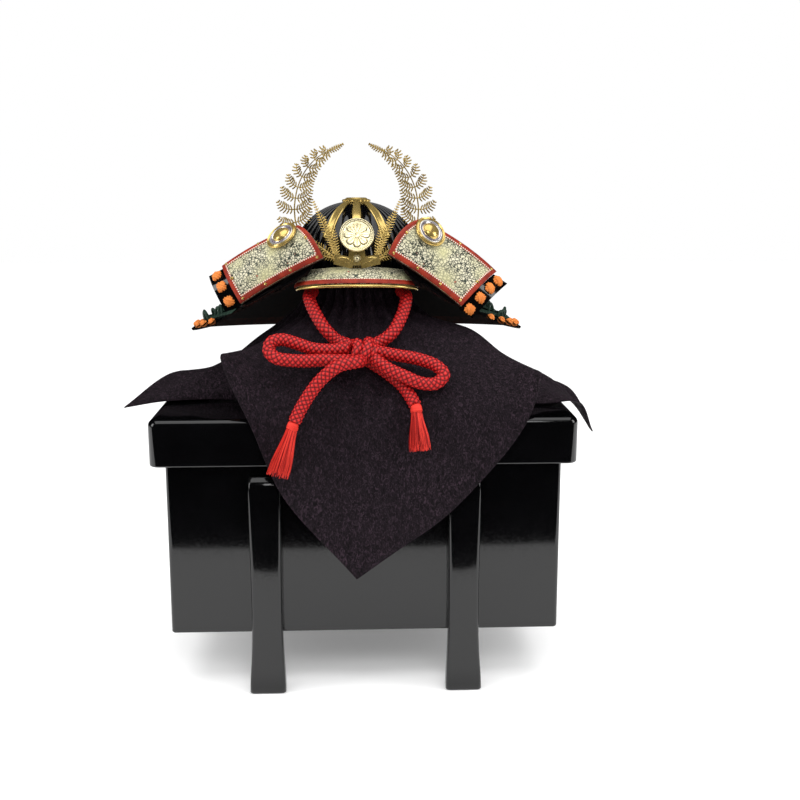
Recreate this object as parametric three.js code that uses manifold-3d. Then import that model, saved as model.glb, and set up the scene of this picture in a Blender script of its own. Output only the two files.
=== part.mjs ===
// Display helmet with fern crest, tied over a cloth on its four-legged storage chest.
// Millimetres, +Z up, front facing -Y. The origin is on the floor under the chest's middle.

import * as THREE from 'three';
import { mergeVertices } from 'three/addons/utils/BufferGeometryUtils.js';
import Module from 'manifold-3d';

const wasm = await Module();
wasm.setup();

// Driving dimensions of the chest
const lidWidth = 360;
const lidDepth = 245;
const lidSkirt = 40;
const lidBoard = 9;
const lidEdgeRadius = 6;
const lidCornerRadius = 4;
const lidOverhang = 12;
const lidPlay = 0.6;
const chestHeight = 240;
const bodyLift = 49;
const bodyWall = 9;
const legSpread = 84.5;
const legWidth = 26;
const legDepth = 12;
const legTopGap = 10;
const legHeight = chestHeight - lidSkirt - legTopGap;
const footFlare = 5;
const footReach = 5.5;

// Driving dimensions of the stand post and the cloth
const postRadius = 20;
const postFootRadius = 46;
const postFootHeight = 8;
const postHeadRadius = 38;
const postHeadDrop = 19;
const postHeadEdge = 8;
const clothThickness = 1.2;
const clothCollarWidth = 42;
const clothCollarDepth = 48;
const clothCollarDrop = 24;

// Driving dimensions of the helmet
const helmetShift = -5;
const rimHeight = 114;
const bowlHalfWidth = 60;
const bowlHalfDepth = 68;
const bowlHeight = 61.5;
const bowlWall = 2;
const bowlFullness = 2.1;
const ribCount = 48;
const ribHeight = 0.9;
const hoopHeight = 9;
const hoopWall = 2;
const bandWidth = 8.5;
const bandThickness = 0.8;
const bandTurn = 27.5;
const crownRadius = 13;
const crownHoleRadius = 6;
const crownHeight = 2.6;
const visorHalfWidth = 51.5;
const visorReach = 18;
const visorThickness = 2;
const visorDrop = 12.5;
const visorRimRadius = 1.3;
const visorBorderWidth = 4;
const visorBorderThickness = 0.8;
const guardHalfWidth = 151;
const guardFrontDepth = 95;
const guardBackDepth = 132;
const guardDrop = 50;
const guardFrontRise = 30;
const guardBackFall = 12;
const guardLames = 5;
const guardTurnStart = -64;
const guardTurnEnd = 244;
const lameThickness = 1.5;
const lameOverlap = 0.2;
const wingThickness = 2;
const wingBorderWidth = 3.6;
const wingBorderThickness = 1;
const wingBorderLift = 0.45;
const bossRadius = 14.4;
const bossDomeRadius = 7.4;
const bossHeight = 5;
const discRadius = 14.6;
const discThickness = 2.4;
const discLean = 22;
const crestThickness = 1.4;
const crestBaseWidth = 40;
const crestBaseHeight = 12;
const frondHeight = 104;
const frondSpread = 53.5;
const frondThickness = 1.2;
const frondStalk = 1.7;
const frondRecess = 24;
const sprayLean = 0.2;

// Driving dimensions of the cord, knot and tassels
const cordDiameter = 11;
const knotWidth = 27;
const knotDepth = 20;
const knotHeight = 21;
const tasselHeadRadius = 6.2;
const tasselHeadLength = 8;
const tasselSkirtRadius = 10.5;

// Gap that pieces keep where one rests on the other, and the smallest edge that a join keeps
const clearance = 0.3;
const joinTolerance = 0.04;

// Heights that follow from the sizes above
const lidTop = chestHeight;
const rimZ = lidTop + rimHeight;
const crownZ = rimZ + bowlHeight;

// Route of the chin cord: up one side, round inside the helmet's back, and down the other side
const chinCordRoute = [
  [-8, -96, 296.5], [-14, -92.5, 298.5], [-22, -89.5, 301], [-31.7, -88, 310], [-40.3, -78, 322],
  [-46.4, -62, 333.6], [-46.5, -50, 336], [-44, -39, 338.2], [-50.5, -20, 343.2],
  [-55.4, -2, 346], [-53, 20, 346], [-41.5, 41, 346], [-24.5, 54.6, 346], [-5, 58.7, 346],
  [14.5, 54.6, 346], [31.5, 41, 346], [43, 20, 346], [45.4, -2, 346], [40.5, -20, 343.2],
  [34, -39, 338.2], [37, -50, 336], [37.4, -62, 333.4], [32.3, -78, 319.2],
  [23.2, -90, 306.5], [12, -93, 299.5], [2, -95, 297],
];
// Routes of the bow's loops, from the knot out and back to it
const leftLoopRoute = [
  [-11, -106, 297.3], [-28.2, -106.5, 295.6], [-43.1, -107, 297], [-56.3, -107, 301.5],
  [-67.8, -107, 304.6], [-76.3, -109, 302.7], [-78.3, -112, 296.5], [-73.2, -116, 291.2],
  [-62.5, -118, 289.2], [-48.5, -118.5, 288.5], [-34.6, -118, 289], [-22, -116, 288.2], [-11, -109.5, 287.4],
];
const rightLoopRoute = [
  [3, -103, 295.5], [25.1, -107, 291.4], [45.9, -109.5, 287.8], [59.9, -112.5, 282.7],
  [66, -117, 276], [59.4, -121, 269.6], [46.8, -123.5, 270.2], [33.6, -123.5, 275.8],
  [19.7, -119.5, 281.8], [7, -109.5, 289.8],
];
// Routes of the hanging ends, from the knot to their tassels
const leftTailRoute = [
  [-2, -113, 287.5], [-6.5, -125, 288.5], [-21, -131.5, 286.2], [-34.4, -132, 276], [-44.3, -132.5, 263.7],
  [-52.1, -134, 251.2], [-57.9, -137, 239.7],
];
const rightTailRoute = [
  [4, -99, 285.5], [16.7, -105, 277.8], [24, -110, 273], [31.2, -115, 267.3],
  [38.3, -124, 258.7], [42.1, -131, 252.1],
];
// Where each tassel's skirt ends
const leftTasselEnd = [-71, -141, 198.9];
const rightTasselEnd = [45.1, -139, 218.4];

// Materials
function finish(color, roughness, metalness) {
  return new THREE.MeshStandardMaterial({ color, roughness, metalness, side: THREE.DoubleSide });
}
const blackLacquer = finish(0x0a0a0b, 0.12, 0);
const gilt = finish(0xc9a24a, 0.3, 1);
const paleGilt = finish(0xe0cf9a, 0.3, 1);
const printedLeather = finish(0xd8d6b8, 0.6, 0);
const redLeather = finish(0x9a2f22, 0.6, 0);
const redBraid = finish(0xc81e1e, 0.6, 0);
const darkCloth = finish(0x221820, 0.9, 0);
const plainWood = finish(0xb08a5a, 0.7, 0);

const part = new THREE.Group();

function addPiece(name, geometry, material) {
  const mesh = new THREE.Mesh(geometry, material);
  mesh.name = name;
  part.add(mesh);
  return mesh;
}

// Small maths
const mix = (from, to, share) => from + (to - from) * share;
const clamp = (value) => Math.min(1, Math.max(0, value));
const smooth = (value) => clamp(value) ** 2 * (3 - 2 * clamp(value));
const radians = THREE.MathUtils.degToRad;
const vector = (point) => new THREE.Vector3(...point);
const shares = (count) => Array.from({ length: count + 1 }, (_, index) => index / count);

// A closed solid from points and flat-sided faces, with its faces turned outward
function closedSolid(points, faces) {
  const triangles = faces.flatMap((face) => {
    const fan = [];
    for (let corner = 2; corner < face.length; corner += 1) {
      fan.push([face[0], face[corner - 1], face[corner]]);
    }
    return fan;
  });
  let geometry = new THREE.BufferGeometry();
  geometry.setAttribute('position', new THREE.Float32BufferAttribute(points.flat(), 3));
  geometry.setIndex(triangles.flat());
  geometry = mergeVertices(geometry, 1e-3);
  const index = geometry.index.array;
  const kept = [];
  for (let start = 0; start < index.length; start += 3) {
    const [a, b, c] = index.slice(start, start + 3);
    if (a !== b && b !== c && c !== a) kept.push([a, b, c]);
  }
  const position = geometry.attributes.position;
  const corner = (vertex) => new THREE.Vector3().fromBufferAttribute(position, vertex);
  const volume = kept.reduce(
    (sum, [a, b, c]) => sum + corner(a).dot(corner(b).cross(corner(c))),
    0,
  );
  const ordered = volume < 0 ? kept.map(([a, b, c]) => [a, c, b]) : kept;
  geometry.setIndex(ordered.flat());
  geometry.computeVertexNormals();
  return geometry;
}

// A wall between two matching grids of points, closed along its edges
function wall(front, back, ring = false) {
  const rows = front.length;
  const columns = front[0].length;
  const vertex = (side, row, column) => side * rows * columns + (row % rows) * columns + column;
  const faces = [];
  const spans = ring ? rows : rows - 1;
  for (let row = 0; row < spans; row += 1) {
    for (let column = 0; column < columns - 1; column += 1) {
      for (const side of [0, 1]) {
        const quad = [
          vertex(side, row, column), vertex(side, row + 1, column),
          vertex(side, row + 1, column + 1), vertex(side, row, column + 1),
        ];
        faces.push(side === 0 ? quad : quad.reverse());
      }
    }
    faces.push([vertex(1, row, 0), vertex(1, row + 1, 0), vertex(0, row + 1, 0), vertex(0, row, 0)]);
    const last = columns - 1;
    faces.push([
      vertex(0, row, last), vertex(0, row + 1, last), vertex(1, row + 1, last), vertex(1, row, last),
    ]);
  }
  if (!ring) {
    for (let column = 0; column < columns - 1; column += 1) {
      const last = rows - 1;
      faces.push([
        vertex(0, 0, column), vertex(0, 0, column + 1), vertex(1, 0, column + 1), vertex(1, 0, column),
      ]);
      faces.push([
        vertex(1, last, column), vertex(1, last, column + 1),
        vertex(0, last, column + 1), vertex(0, last, column),
      ]);
    }
  }
  return closedSolid([...front.flat(), ...back.flat()], faces);
}

// A solid skinned over rings of points, with a flat cap on its first and last ring
function loft(rings) {
  const count = rings[0].length;
  const faces = [];
  for (let ring = 0; ring < rings.length - 1; ring += 1) {
    for (let step = 0; step < count; step += 1) {
      const next = (step + 1) % count;
      faces.push([
        ring * count + step, ring * count + next, (ring + 1) * count + next, (ring + 1) * count + step,
      ]);
    }
  }
  const order = Array.from({ length: count }, (_, step) => step);
  faces.push([...order].reverse());
  faces.push(order.map((step) => (rings.length - 1) * count + step));
  return closedSolid(rings.flat(), faces);
}

// Booleans
function solidOf(geometry) {
  const bare = geometry.clone();
  for (const name of Object.keys(bare.attributes)) {
    if (name !== 'position') bare.deleteAttribute(name);
  }
  const merged = mergeVertices(bare, 1e-4);
  return new wasm.Manifold(new wasm.Mesh({
    numProp: 3,
    vertProperties: new Float32Array(merged.attributes.position.array),
    triVerts: new Uint32Array(merged.index.array),
  }));
}

function geometryOf(solid) {
  const mesh = solid.getMesh();
  const geometry = new THREE.BufferGeometry();
  const positions = [];
  for (let vertex = 0; vertex < mesh.numVert; vertex += 1) {
    const start = vertex * mesh.numProp;
    positions.push(...mesh.vertProperties.slice(start, start + 3));
  }
  geometry.setAttribute('position', new THREE.Float32BufferAttribute(positions, 3));
  geometry.setIndex([...mesh.triVerts]);
  geometry.computeVertexNormals();
  return geometry;
}

// Joined geometries, without the crumbs of edge that a join leaves where faces meet
function fuse(geometries) {
  const whole = geometries.map(solidOf).reduce((sum, next) => sum.add(next));
  return geometryOf(whole.asOriginal().setTolerance(joinTolerance));
}

// The largest body that is left of a geometry once the cutters are taken from it
function cutBack(geometry, cutters) {
  const left = cutters.map(solidOf).reduce((whole, cutter) => whole.subtract(cutter), solidOf(geometry));
  const bodies = left.decompose().sort((a, b) => b.volume() - a.volume());
  return geometryOf(bodies[0].asOriginal().setTolerance(joinTolerance));
}

function roundedRing(width, depth, radius, z, inset = 0) {
  const steps = 3;
  const corner = Math.max(radius - inset, 0.2);
  const points = [];
  for (let quarter = 0; quarter < 4; quarter += 1) {
    const turn = quarter * Math.PI / 2;
    const signX = quarter === 0 || quarter === 3 ? 1 : -1;
    const signY = quarter < 2 ? 1 : -1;
    for (const share of shares(steps)) {
      const angle = turn + share * Math.PI / 2;
      points.push([
        signX * (width / 2 - inset - corner) + corner * Math.cos(angle),
        signY * (depth / 2 - inset - corner) + corner * Math.sin(angle),
        z,
      ]);
    }
  }
  return points;
}

// Storage chest: an open box, its lift-off lid, and four legs on its front and back
const bodyWidth = lidWidth - 2 * lidOverhang;
const bodyDepth = lidDepth - 2 * lidOverhang;
const bodyTop = lidTop - lidBoard - clearance;

function chestBody() {
  const floorZ = bodyLift + bodyWall;
  return loft([
    roundedRing(bodyWidth, bodyDepth, lidCornerRadius, floorZ, bodyWall),
    roundedRing(bodyWidth, bodyDepth, lidCornerRadius, bodyTop, bodyWall),
    roundedRing(bodyWidth, bodyDepth, lidCornerRadius, bodyTop),
    roundedRing(bodyWidth, bodyDepth, lidCornerRadius, bodyLift),
  ]);
}

function chestLid() {
  const inner = lidOverhang - lidPlay;
  const skirtBottom = lidTop - lidSkirt;
  const rings = [
    roundedRing(lidWidth, lidDepth, lidCornerRadius, lidTop - lidBoard, inner),
    roundedRing(lidWidth, lidDepth, lidCornerRadius, skirtBottom, inner),
    roundedRing(lidWidth, lidDepth, lidCornerRadius, skirtBottom),
  ];
  for (const share of shares(4)) {
    const angle = share * Math.PI / 2;
    const inset = lidEdgeRadius * (1 - Math.cos(angle));
    const z = lidTop - lidEdgeRadius * (1 - Math.sin(angle));
    rings.push(roundedRing(lidWidth, lidDepth, lidEdgeRadius + lidCornerRadius, z, inset));
  }
  return loft(rings);
}

// Leg sections: height, extra width and outward reach as shares of the leg's own sizes
const legSections = [
  { height: 0, flare: 1, reach: 1, slim: 1 },
  { height: 0.06, flare: 0.85, reach: 0.95, slim: 1 },
  { height: 0.18, flare: 0.3, reach: 0.45, slim: 1 },
  { height: 0.34, flare: 0, reach: 0.06, slim: 1 },
  { height: 0.62, flare: 0.12, reach: 0, slim: 1 },
  { height: 0.9, flare: 0.35, reach: 0, slim: 1 },
  { height: 0.965, flare: 0.3, reach: 0, slim: 0.86 },
  { height: 1, flare: 0, reach: 0, slim: 0.45 },
];

function chestLeg(sideX, sideY) {
  const face = bodyDepth / 2 + clearance;
  const bevel = 2.5;
  const rings = legSections.map(({ height, flare, reach, slim }) => {
    const half = (legWidth + footFlare * flare) / 2;
    const inner = face + footReach * reach;
    const outer = inner + legDepth * slim;
    const outline = [
      [-half, inner], [half, inner], [half, outer - bevel], [half - bevel, outer],
      [-half + bevel, outer], [-half, outer - bevel],
    ];
    return outline.map(([x, y]) => [sideX * legSpread + x, sideY * y, height * legHeight]);
  });
  return loft(rings);
}

addPiece('chest_body', chestBody(), blackLacquer);
addPiece('chest_lid', chestLid(), blackLacquer);
for (const [depthName, sideY] of [['front', -1], ['back', 1]]) {
  for (const [widthName, sideX] of [['left', -1], ['right', 1]]) {
    addPiece(`chest_leg_${depthName}_${widthName}`, chestLeg(sideX, sideY), blackLacquer);
  }
}

// The bowl's surface: angle turns from the right side towards the back, climb goes up the dome
function bowlPoint(angle, climb, grow = 0) {
  const power = 2 / bowlFullness;
  const across = Math.cos(climb * Math.PI / 2) ** power;
  const high = Math.sin(climb * Math.PI / 2) ** power;
  return [
    helmetShift + (bowlHalfWidth + grow) * across * Math.cos(angle),
    (bowlHalfDepth + grow) * across * Math.sin(angle),
    rimZ + (bowlHeight + grow) * high,
  ];
}

// How far up the dome a height lies, for one layer of the bowl
function climbAt(z, grow = 0) {
  const high = clamp((z - rimZ) / (bowlHeight + grow));
  return Math.asin(high ** (bowlFullness / 2)) / (Math.PI / 2);
}

function dome(count, grow, ridge, floorZ) {
  const climbs = [0, 0.24, 0.46, 0.66, 0.85];
  const ringAt = (climb, z) => Array.from({ length: count }, (_, step) => {
    const rise = step % 2 === 0 ? ridge * Math.cos(climb * Math.PI / 2) ** 0.5 : 0;
    const point = bowlPoint(step / count * 2 * Math.PI, climb, grow + rise);
    return z === undefined ? point : [point[0], point[1], z];
  });
  const rings = climbs.map((climb) => ringAt(climb));
  rings[0] = ringAt(0, floorZ);
  const top = Array.from({ length: count }, () => bowlPoint(0, 1, grow));
  return loft([...rings, top]);
}

function bowl() {
  const outside = dome(ribCount * 2, 0, ribHeight, rimZ);
  const inside = dome(ribCount / 2, -bowlWall, 0, rimZ - 2);
  return cutBack(outside, [inside]);
}

const ovalRing = (halfWidth, halfDepth, z, count) => Array.from({ length: count }, (_, step) => {
  const angle = step / count * 2 * Math.PI;
  return [helmetShift + halfWidth * Math.cos(angle), halfDepth * Math.sin(angle), z];
});

function hoop() {
  const count = 28;
  const top = rimZ - clearance;
  const bottom = top - hoopHeight;
  const outer = [bottom, top].map((z) => ovalRing(bowlHalfWidth, bowlHalfDepth, z, count));
  const inner = [bottom, top].map(
    (z) => ovalRing(bowlHalfWidth - hoopWall, bowlHalfDepth - hoopWall, z, count),
  );
  const columns = (pair) => pair[0].map((point, step) => [point, pair[1][step]]);
  return wall(columns(outer), columns(inner), true);
}

// A strap that follows the bowl's front, with its lower end at the given height
function bowlStrap(turn, bottomZ) {
  const grow = ribHeight + clearance;
  const rows = 5;
  const top = climbAt(crownZ - 1.6);
  const bottom = climbAt(bottomZ);
  const layer = (lift) => shares(rows).map((share) => {
    const climb = mix(bottom, top, share);
    const across = Math.cos(climb * Math.PI / 2) ** (2 / bowlFullness);
    const radius = Math.max(across * bowlHalfDepth, bandWidth);
    const taper = mix(1, 0.62, smooth((share - 0.6) / 0.4));
    const half = Math.asin(Math.min(0.95, taper * bandWidth / 2 / radius));
    return [-1, -0.33, 0.33, 1].map(
      (side) => bowlPoint(-Math.PI / 2 + radians(turn) + side * half, climb, grow + lift),
    );
  });
  return wall(layer(bandThickness), layer(0));
}

function crownRing() {
  const seat = ribHeight / 2 + clearance;
  const domeZ = (radius) => {
    const share = radius / bowlHalfWidth;
    return rimZ + bowlHeight * (1 - share ** bowlFullness) ** (1 / bowlFullness);
  };
  const high = crownZ + seat + crownHeight;
  const profile = [
    [crownHoleRadius, domeZ(crownHoleRadius) + seat],
    [crownRadius, domeZ(crownRadius) + seat],
    [crownRadius, high - crownHeight * 0.75],
    [crownRadius * 0.82, high - crownHeight * 0.45],
    [crownRadius * 0.7, high],
    [crownHoleRadius, high],
  ];
  const points = profile.map(([radius, z]) => new THREE.Vector2(radius, z));
  points.push(points[0].clone());
  const geometry = new THREE.LatheGeometry(points, 16);
  geometry.rotateX(Math.PI / 2);
  geometry.translate(helmetShift, 0, 0);
  return geometry;
}

addPiece('bowl', bowl(), blackLacquer);
addPiece('bowl_hoop', hoop(), blackLacquer);
addPiece('front_band_center', bowlStrap(0, rimZ + bowlHeight * 0.3), gilt);
addPiece('front_band_left', bowlStrap(-bandTurn, rimZ + bowlHeight * 0.52), gilt);
addPiece('front_band_right', bowlStrap(bandTurn, rimZ + bowlHeight * 0.52), gilt);
addPiece('crown_ring', crownRing(), gilt);

// Visor: across runs from -1 at the left end to 1 at the right, down from 0 at the bowl to 1
function visorSurface(across, down) {
  const topAngle = radians(across * 62);
  const topGrow = ribHeight + 2 * clearance;
  const lowAngle = across * Math.PI / 2;
  const endDepth = bowlHalfDepth * 0.735;
  const high = [
    (bowlHalfWidth + topGrow) * Math.sin(topAngle),
    -(bowlHalfDepth + topGrow) * Math.cos(topAngle),
    rimZ + mix(-3, 6, Math.cos(topAngle) ** 2),
  ];
  const low = [
    visorHalfWidth * Math.sin(lowAngle),
    -endDepth - (bowlHalfDepth + visorReach - endDepth) * Math.cos(lowAngle),
    rimZ - visorDrop + visorDrop * 0.5 * Math.cos(lowAngle),
  ];
  const arch = 2.2 * Math.sin(down * Math.PI);
  return new THREE.Vector3(
    helmetShift + mix(high[0], low[0], down),
    mix(high[1], low[1], down),
    mix(high[2], low[2], down) + arch,
  );
}

function visorPoint(across, down, lift = 0) {
  const step = 0.01;
  const sideways = visorSurface(across + step, down).sub(visorSurface(across - step, down));
  const outward = visorSurface(across, down + step).sub(visorSurface(across, down - step));
  const normal = outward.cross(sideways).normalize();
  return visorSurface(across, down).addScaledVector(normal, lift).toArray();
}

function visorPatch(downFrom, downTo, lift, thickness) {
  const layer = (offset) => shares(14).map((share) => shares(3).map(
    (step) => visorPoint(share * 2 - 1, mix(downFrom, downTo, step), offset),
  ));
  return wall(layer(lift + thickness), layer(lift));
}

// A tube along a smooth route
function tube(route, diameter, sides, steps) {
  const curve = new THREE.CatmullRomCurve3(route.map(vector), false, 'centripetal');
  const section = new THREE.Shape(shares(sides).slice(0, -1).map((share) => {
    const angle = share * 2 * Math.PI;
    return new THREE.Vector2(Math.cos(angle), Math.sin(angle)).multiplyScalar(diameter / 2);
  }));
  return new THREE.ExtrudeGeometry(section, { steps, extrudePath: curve, bevelEnabled: false });
}

// A round bead along the visor's front edge
function visorRim() {
  const rings = shares(14).map((share) => {
    const across = share * 2 - 1;
    const edge = visorSurface(across, 1);
    const outward = edge.clone().sub(visorSurface(across, 0.98)).normalize();
    const normal = vector(visorPoint(across, 1, 1)).sub(edge);
    const centre = edge.addScaledVector(normal, visorThickness / 2)
      .addScaledVector(outward, visorRimRadius + 1.5 * clearance);
    return [0, 1, 2, 3, 4, 5].map((corner) => {
      const angle = corner * Math.PI / 3;
      return centre.clone().addScaledVector(outward, visorRimRadius * Math.cos(angle))
        .addScaledVector(normal, visorRimRadius * Math.sin(angle)).toArray();
    });
  });
  return loft(rings);
}

addPiece('visor', visorPatch(0, 1, 0, visorThickness), printedLeather);
const borderShare = visorBorderWidth / (visorReach + visorDrop / 2);
addPiece(
  'visor_border',
  visorPatch(1 - borderShare, 1, visorThickness + 1.5 * clearance, visorBorderThickness),
  redLeather,
);
addPiece('visor_rim', visorRim(), gilt);

// Places on the helmet, as shares of the guard's half width, the bowl's half depth and its height
function helmetPoint([across, deep, high]) {
  return [
    helmetShift + across * guardHalfWidth,
    deep * bowlHalfDepth,
    rimZ + high * bowlHeight,
  ];
}

// Turned-back wings: four corners, how far each edge bulges, and how far the face bows out
const wings = {
  left: {
    innerLow: [-0.187, -1.18, 0.26],
    innerHigh: [-0.329, -0.8, 0.685],
    outerHigh: [-0.783, -0.5, 0.095],
    outerLow: [-0.668, -0.824, -0.408],
    innerBulge: 5, topBulge: 2, outerBulge: -2, lowBulge: -1, bow: 8, arch: 2,
    boss: { along: 0.24, up: 0.8 },
  },
  right: {
    innerLow: [0.174, -1.15, 0.31],
    innerHigh: [0.357, -0.82, 0.765],
    outerHigh: [0.815, -0.59, 0.011],
    outerLow: [0.592, -1.03, -0.43],
    innerBulge: 6, topBulge: 3, outerBulge: -2, lowBulge: -1, bow: 6, arch: 2,
    boss: { along: 0.21, up: 0.78 },
  },
};

function wingFrame(wing) {
  const [innerLow, innerHigh, outerHigh, outerLow] = [
    wing.innerLow, wing.innerHigh, wing.outerHigh, wing.outerLow,
  ].map((corner) => vector(helmetPoint(corner)));
  const along = outerLow.clone().sub(innerLow).add(outerHigh).sub(innerHigh).normalize();
  const up = innerHigh.clone().sub(innerLow).add(outerHigh).sub(outerLow).normalize();
  const normal = along.clone().cross(up).normalize();
  if (normal.y > 0) normal.negate();
  return { innerLow, innerHigh, outerHigh, outerLow, along, up, normal };
}

// A point on a wing: along from its inner to its outer edge, up from its low to its top edge
function wingPoint(wing, along, up, lift = 0) {
  const frame = wingFrame(wing);
  const bump = (share) => 4 * clamp(share) * (1 - clamp(share));
  const low = frame.innerLow.clone().lerp(frame.outerLow, along);
  const high = frame.innerHigh.clone().lerp(frame.outerHigh, along);
  const point = low.lerp(high, up);
  const sideways = mix(-wing.innerBulge * bump(up), wing.outerBulge * bump(up), clamp(along));
  const upright = mix(-wing.lowBulge * bump(along), wing.topBulge * bump(along), clamp(up));
  const out = wing.bow * bump(up) + wing.arch * bump(along) + lift;
  point.addScaledVector(frame.along, sideways);
  point.addScaledVector(frame.up, upright);
  point.addScaledVector(frame.normal, out);
  return point.toArray();
}

function wingPatch(wing, alongFrom, alongTo, upFrom, upTo, front, thickness, spans = [6, 4]) {
  const layer = (lift) => shares(spans[0]).map((a) => shares(spans[1]).map(
    (u) => wingPoint(wing, mix(alongFrom, alongTo, a), mix(upFrom, upTo, u), lift),
  ));
  return wall(layer(front), layer(front - thickness));
}

// The leather binding laid over a wing's edge, a closed frame of four strips
function wingBorder(wing) {
  const frame = wingFrame(wing);
  const length = frame.innerLow.distanceTo(frame.outerLow);
  const height = frame.innerLow.distanceTo(frame.innerHigh);
  const insetAlong = wingBorderWidth / length;
  const insetUp = wingBorderWidth / height;
  const path = [];
  for (const share of shares(6).slice(0, -1)) path.push([share, 0]);
  for (const share of shares(4).slice(0, -1)) path.push([1, share]);
  for (const share of shares(6).slice(0, -1)) path.push([1 - share, 1]);
  for (const share of shares(4).slice(0, -1)) path.push([0, 1 - share]);
  const layer = (lift) => path.map(([along, up]) => [
    wingPoint(wing, along, up, lift),
    wingPoint(wing, mix(insetAlong, 1 - insetAlong, along), mix(insetUp, 1 - insetUp, up), lift),
  ]);
  return wall(layer(wingBorderLift + wingBorderThickness), layer(wingBorderLift), true);
}

// A turned ornament standing on a seat point, along the seat's outward direction
function turnedOn(profile, seat, direction, sides) {
  const points = profile.map(([radius, height]) => new THREE.Vector2(radius, height));
  const geometry = new THREE.LatheGeometry(points, sides);
  const turn = new THREE.Quaternion().setFromUnitVectors(new THREE.Vector3(0, 1, 0), direction);
  geometry.applyQuaternion(turn);
  geometry.translate(...seat);
  return geometry;
}

function wingBoss(wing) {
  const { along, up } = wing.boss;
  const seat = vector(wingPoint(wing, along, up));
  const alongSide = vector(wingPoint(wing, along + 0.05, up)).sub(seat);
  const upSide = vector(wingPoint(wing, along, up - 0.05)).sub(seat);
  const direction = alongSide.cross(upSide).normalize();
  if (direction.y > 0) direction.negate();
  const lift = clearance + wing.bow * 0.14;
  return turnedOn([
    [0, lift], [bossRadius, lift], [bossRadius, lift + bossHeight * 0.3],
    [bossRadius * 0.86, lift + bossHeight * 0.42], [bossRadius * 0.8, lift + bossHeight * 0.3],
    [bossDomeRadius * 1.15, lift + bossHeight * 0.36], [bossDomeRadius, lift + bossHeight * 0.65],
    [bossDomeRadius * 0.6, lift + bossHeight * 0.93], [0, lift + bossHeight],
  ], seat.toArray(), direction, 12);
}

for (const [side, wing] of Object.entries(wings)) {
  addPiece(`wing_${side}`, wingPatch(wing, 0, 1, 0, 1, 0, wingThickness), printedLeather);
  addPiece(`wing_border_${side}`, wingBorder(wing), redLeather);
  addPiece(`wing_boss_${side}`, wingBoss(wing), gilt);
  addPiece(
    `lame_end_${side}`,
    wingPatch(wing, 1.006, 1.19, -0.04, 0.9, 0, wingThickness, [2, 4]),
    blackLacquer,
  );
}

// Neck guard: turn goes from the right side over the back to the left side, drop from the
// bowl at 0 to the lowest edge at 1, and lift is measured off the sloping surface
function guardPoint(turn, drop, lift = 0) {
  const start = ribHeight + clearance;
  const halfWidth = mix(bowlHalfWidth + start, guardHalfWidth, drop);
  const front = mix(bowlHalfDepth + start, guardFrontDepth, drop);
  const back = mix(bowlHalfDepth + start, guardBackDepth, drop);
  const forward = Math.max(0, -Math.sin(turn));
  const rearward = Math.max(0, Math.sin(turn));
  const slope = Math.atan2(guardDrop, guardHalfWidth - bowlHalfWidth);
  const outward = lift * Math.sin(slope);
  const halfDepth = (Math.sin(turn) < 0 ? front : back) + outward;
  return [
    helmetShift + (halfWidth + outward) * Math.cos(turn),
    halfDepth * Math.sin(turn),
    rimZ - 4 - guardDrop * drop + guardFrontRise * forward ** 2 - guardBackFall * rearward * drop
      + lift * Math.cos(slope),
  ];
}

function guardLame(index) {
  const turns = shares(24).map((share) => radians(mix(guardTurnStart, guardTurnEnd, share)));
  if (index === 0) {
    turns.pop();
    turns.shift();
  }
  const height = 1 / guardLames;
  const overlap = index === 0 ? 0 : lameOverlap * height;
  const topLift = index === 0 ? 0 : (lameThickness + clearance) * (1 + lameOverlap) * 1.04;
  const layer = (lift) => turns.map((turn) => [
    guardPoint(turn, index * height - overlap, topLift + lift),
    guardPoint(turn, (index + 1) * height, lift),
  ]);
  return wall(layer(lameThickness), layer(0));
}

const wingCutters = Object.values(wings).flatMap((wing) => [
  wingPatch(wing, -0.35, 1.5, -0.7, 1.1, 60, 60 + wingThickness + clearance, [10, 8]),
  wingPatch(wing, -0.01, 1.01, -0.01, 1.01, 2 * clearance, wingThickness + 4 * clearance),
]);
for (let index = 0; index < guardLames; index += 1) {
  addPiece(`neck_lame_${index + 1}`, cutBack(guardLame(index), wingCutters), blackLacquer);
}

// Crest: a disc and two fern fronds on a stepped base that stands on the visor
const crestDepth = bowlHalfDepth + 8;
const discHeight = rimZ + bowlHeight * 0.57;
const crestFoot = (() => {
  const [, highY] = visorPoint(0, 0, visorThickness);
  const [, lowY] = visorPoint(0, 1, visorThickness);
  const down = (crestThickness - crestDepth - highY) / (lowY - highY);
  return visorPoint(0, down, visorThickness)[2] + 2 * clearance;
})();

// A flat outline in the crest's upright plane, made as thick as asked and bent in depth
function uprightPlate(outline, thickness, depthAt) {
  const shape = new THREE.Shape(outline.map(([x, z]) => new THREE.Vector2(x, z)));
  const geometry = new THREE.ExtrudeGeometry(shape, { depth: thickness, bevelEnabled: false });
  return bendPlate(geometry, depthAt);
}

function bendPlate(geometry, depthAt) {
  const position = geometry.attributes.position;
  for (let vertex = 0; vertex < position.count; vertex += 1) {
    const x = position.getX(vertex);
    const z = position.getY(vertex);
    const depth = position.getZ(vertex);
    position.setXYZ(vertex, helmetShift + x, depthAt(x, z) + depth, z);
  }
  position.needsUpdate = true;
  const index = geometry.index ? [...geometry.index.array] : [...Array(position.count).keys()];
  const points = Array.from({ length: position.count }, (_, vertex) => [
    position.getX(vertex), position.getY(vertex), position.getZ(vertex),
  ]);
  const faces = [];
  for (let start = 0; start < index.length; start += 3) faces.push(index.slice(start, start + 3));
  return closedSolid(points, faces);
}

const discSeat = [helmetShift, -crestDepth, discHeight];
const discFacing = new THREE.Vector3(0, -Math.cos(radians(discLean)), Math.sin(radians(discLean)));

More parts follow.
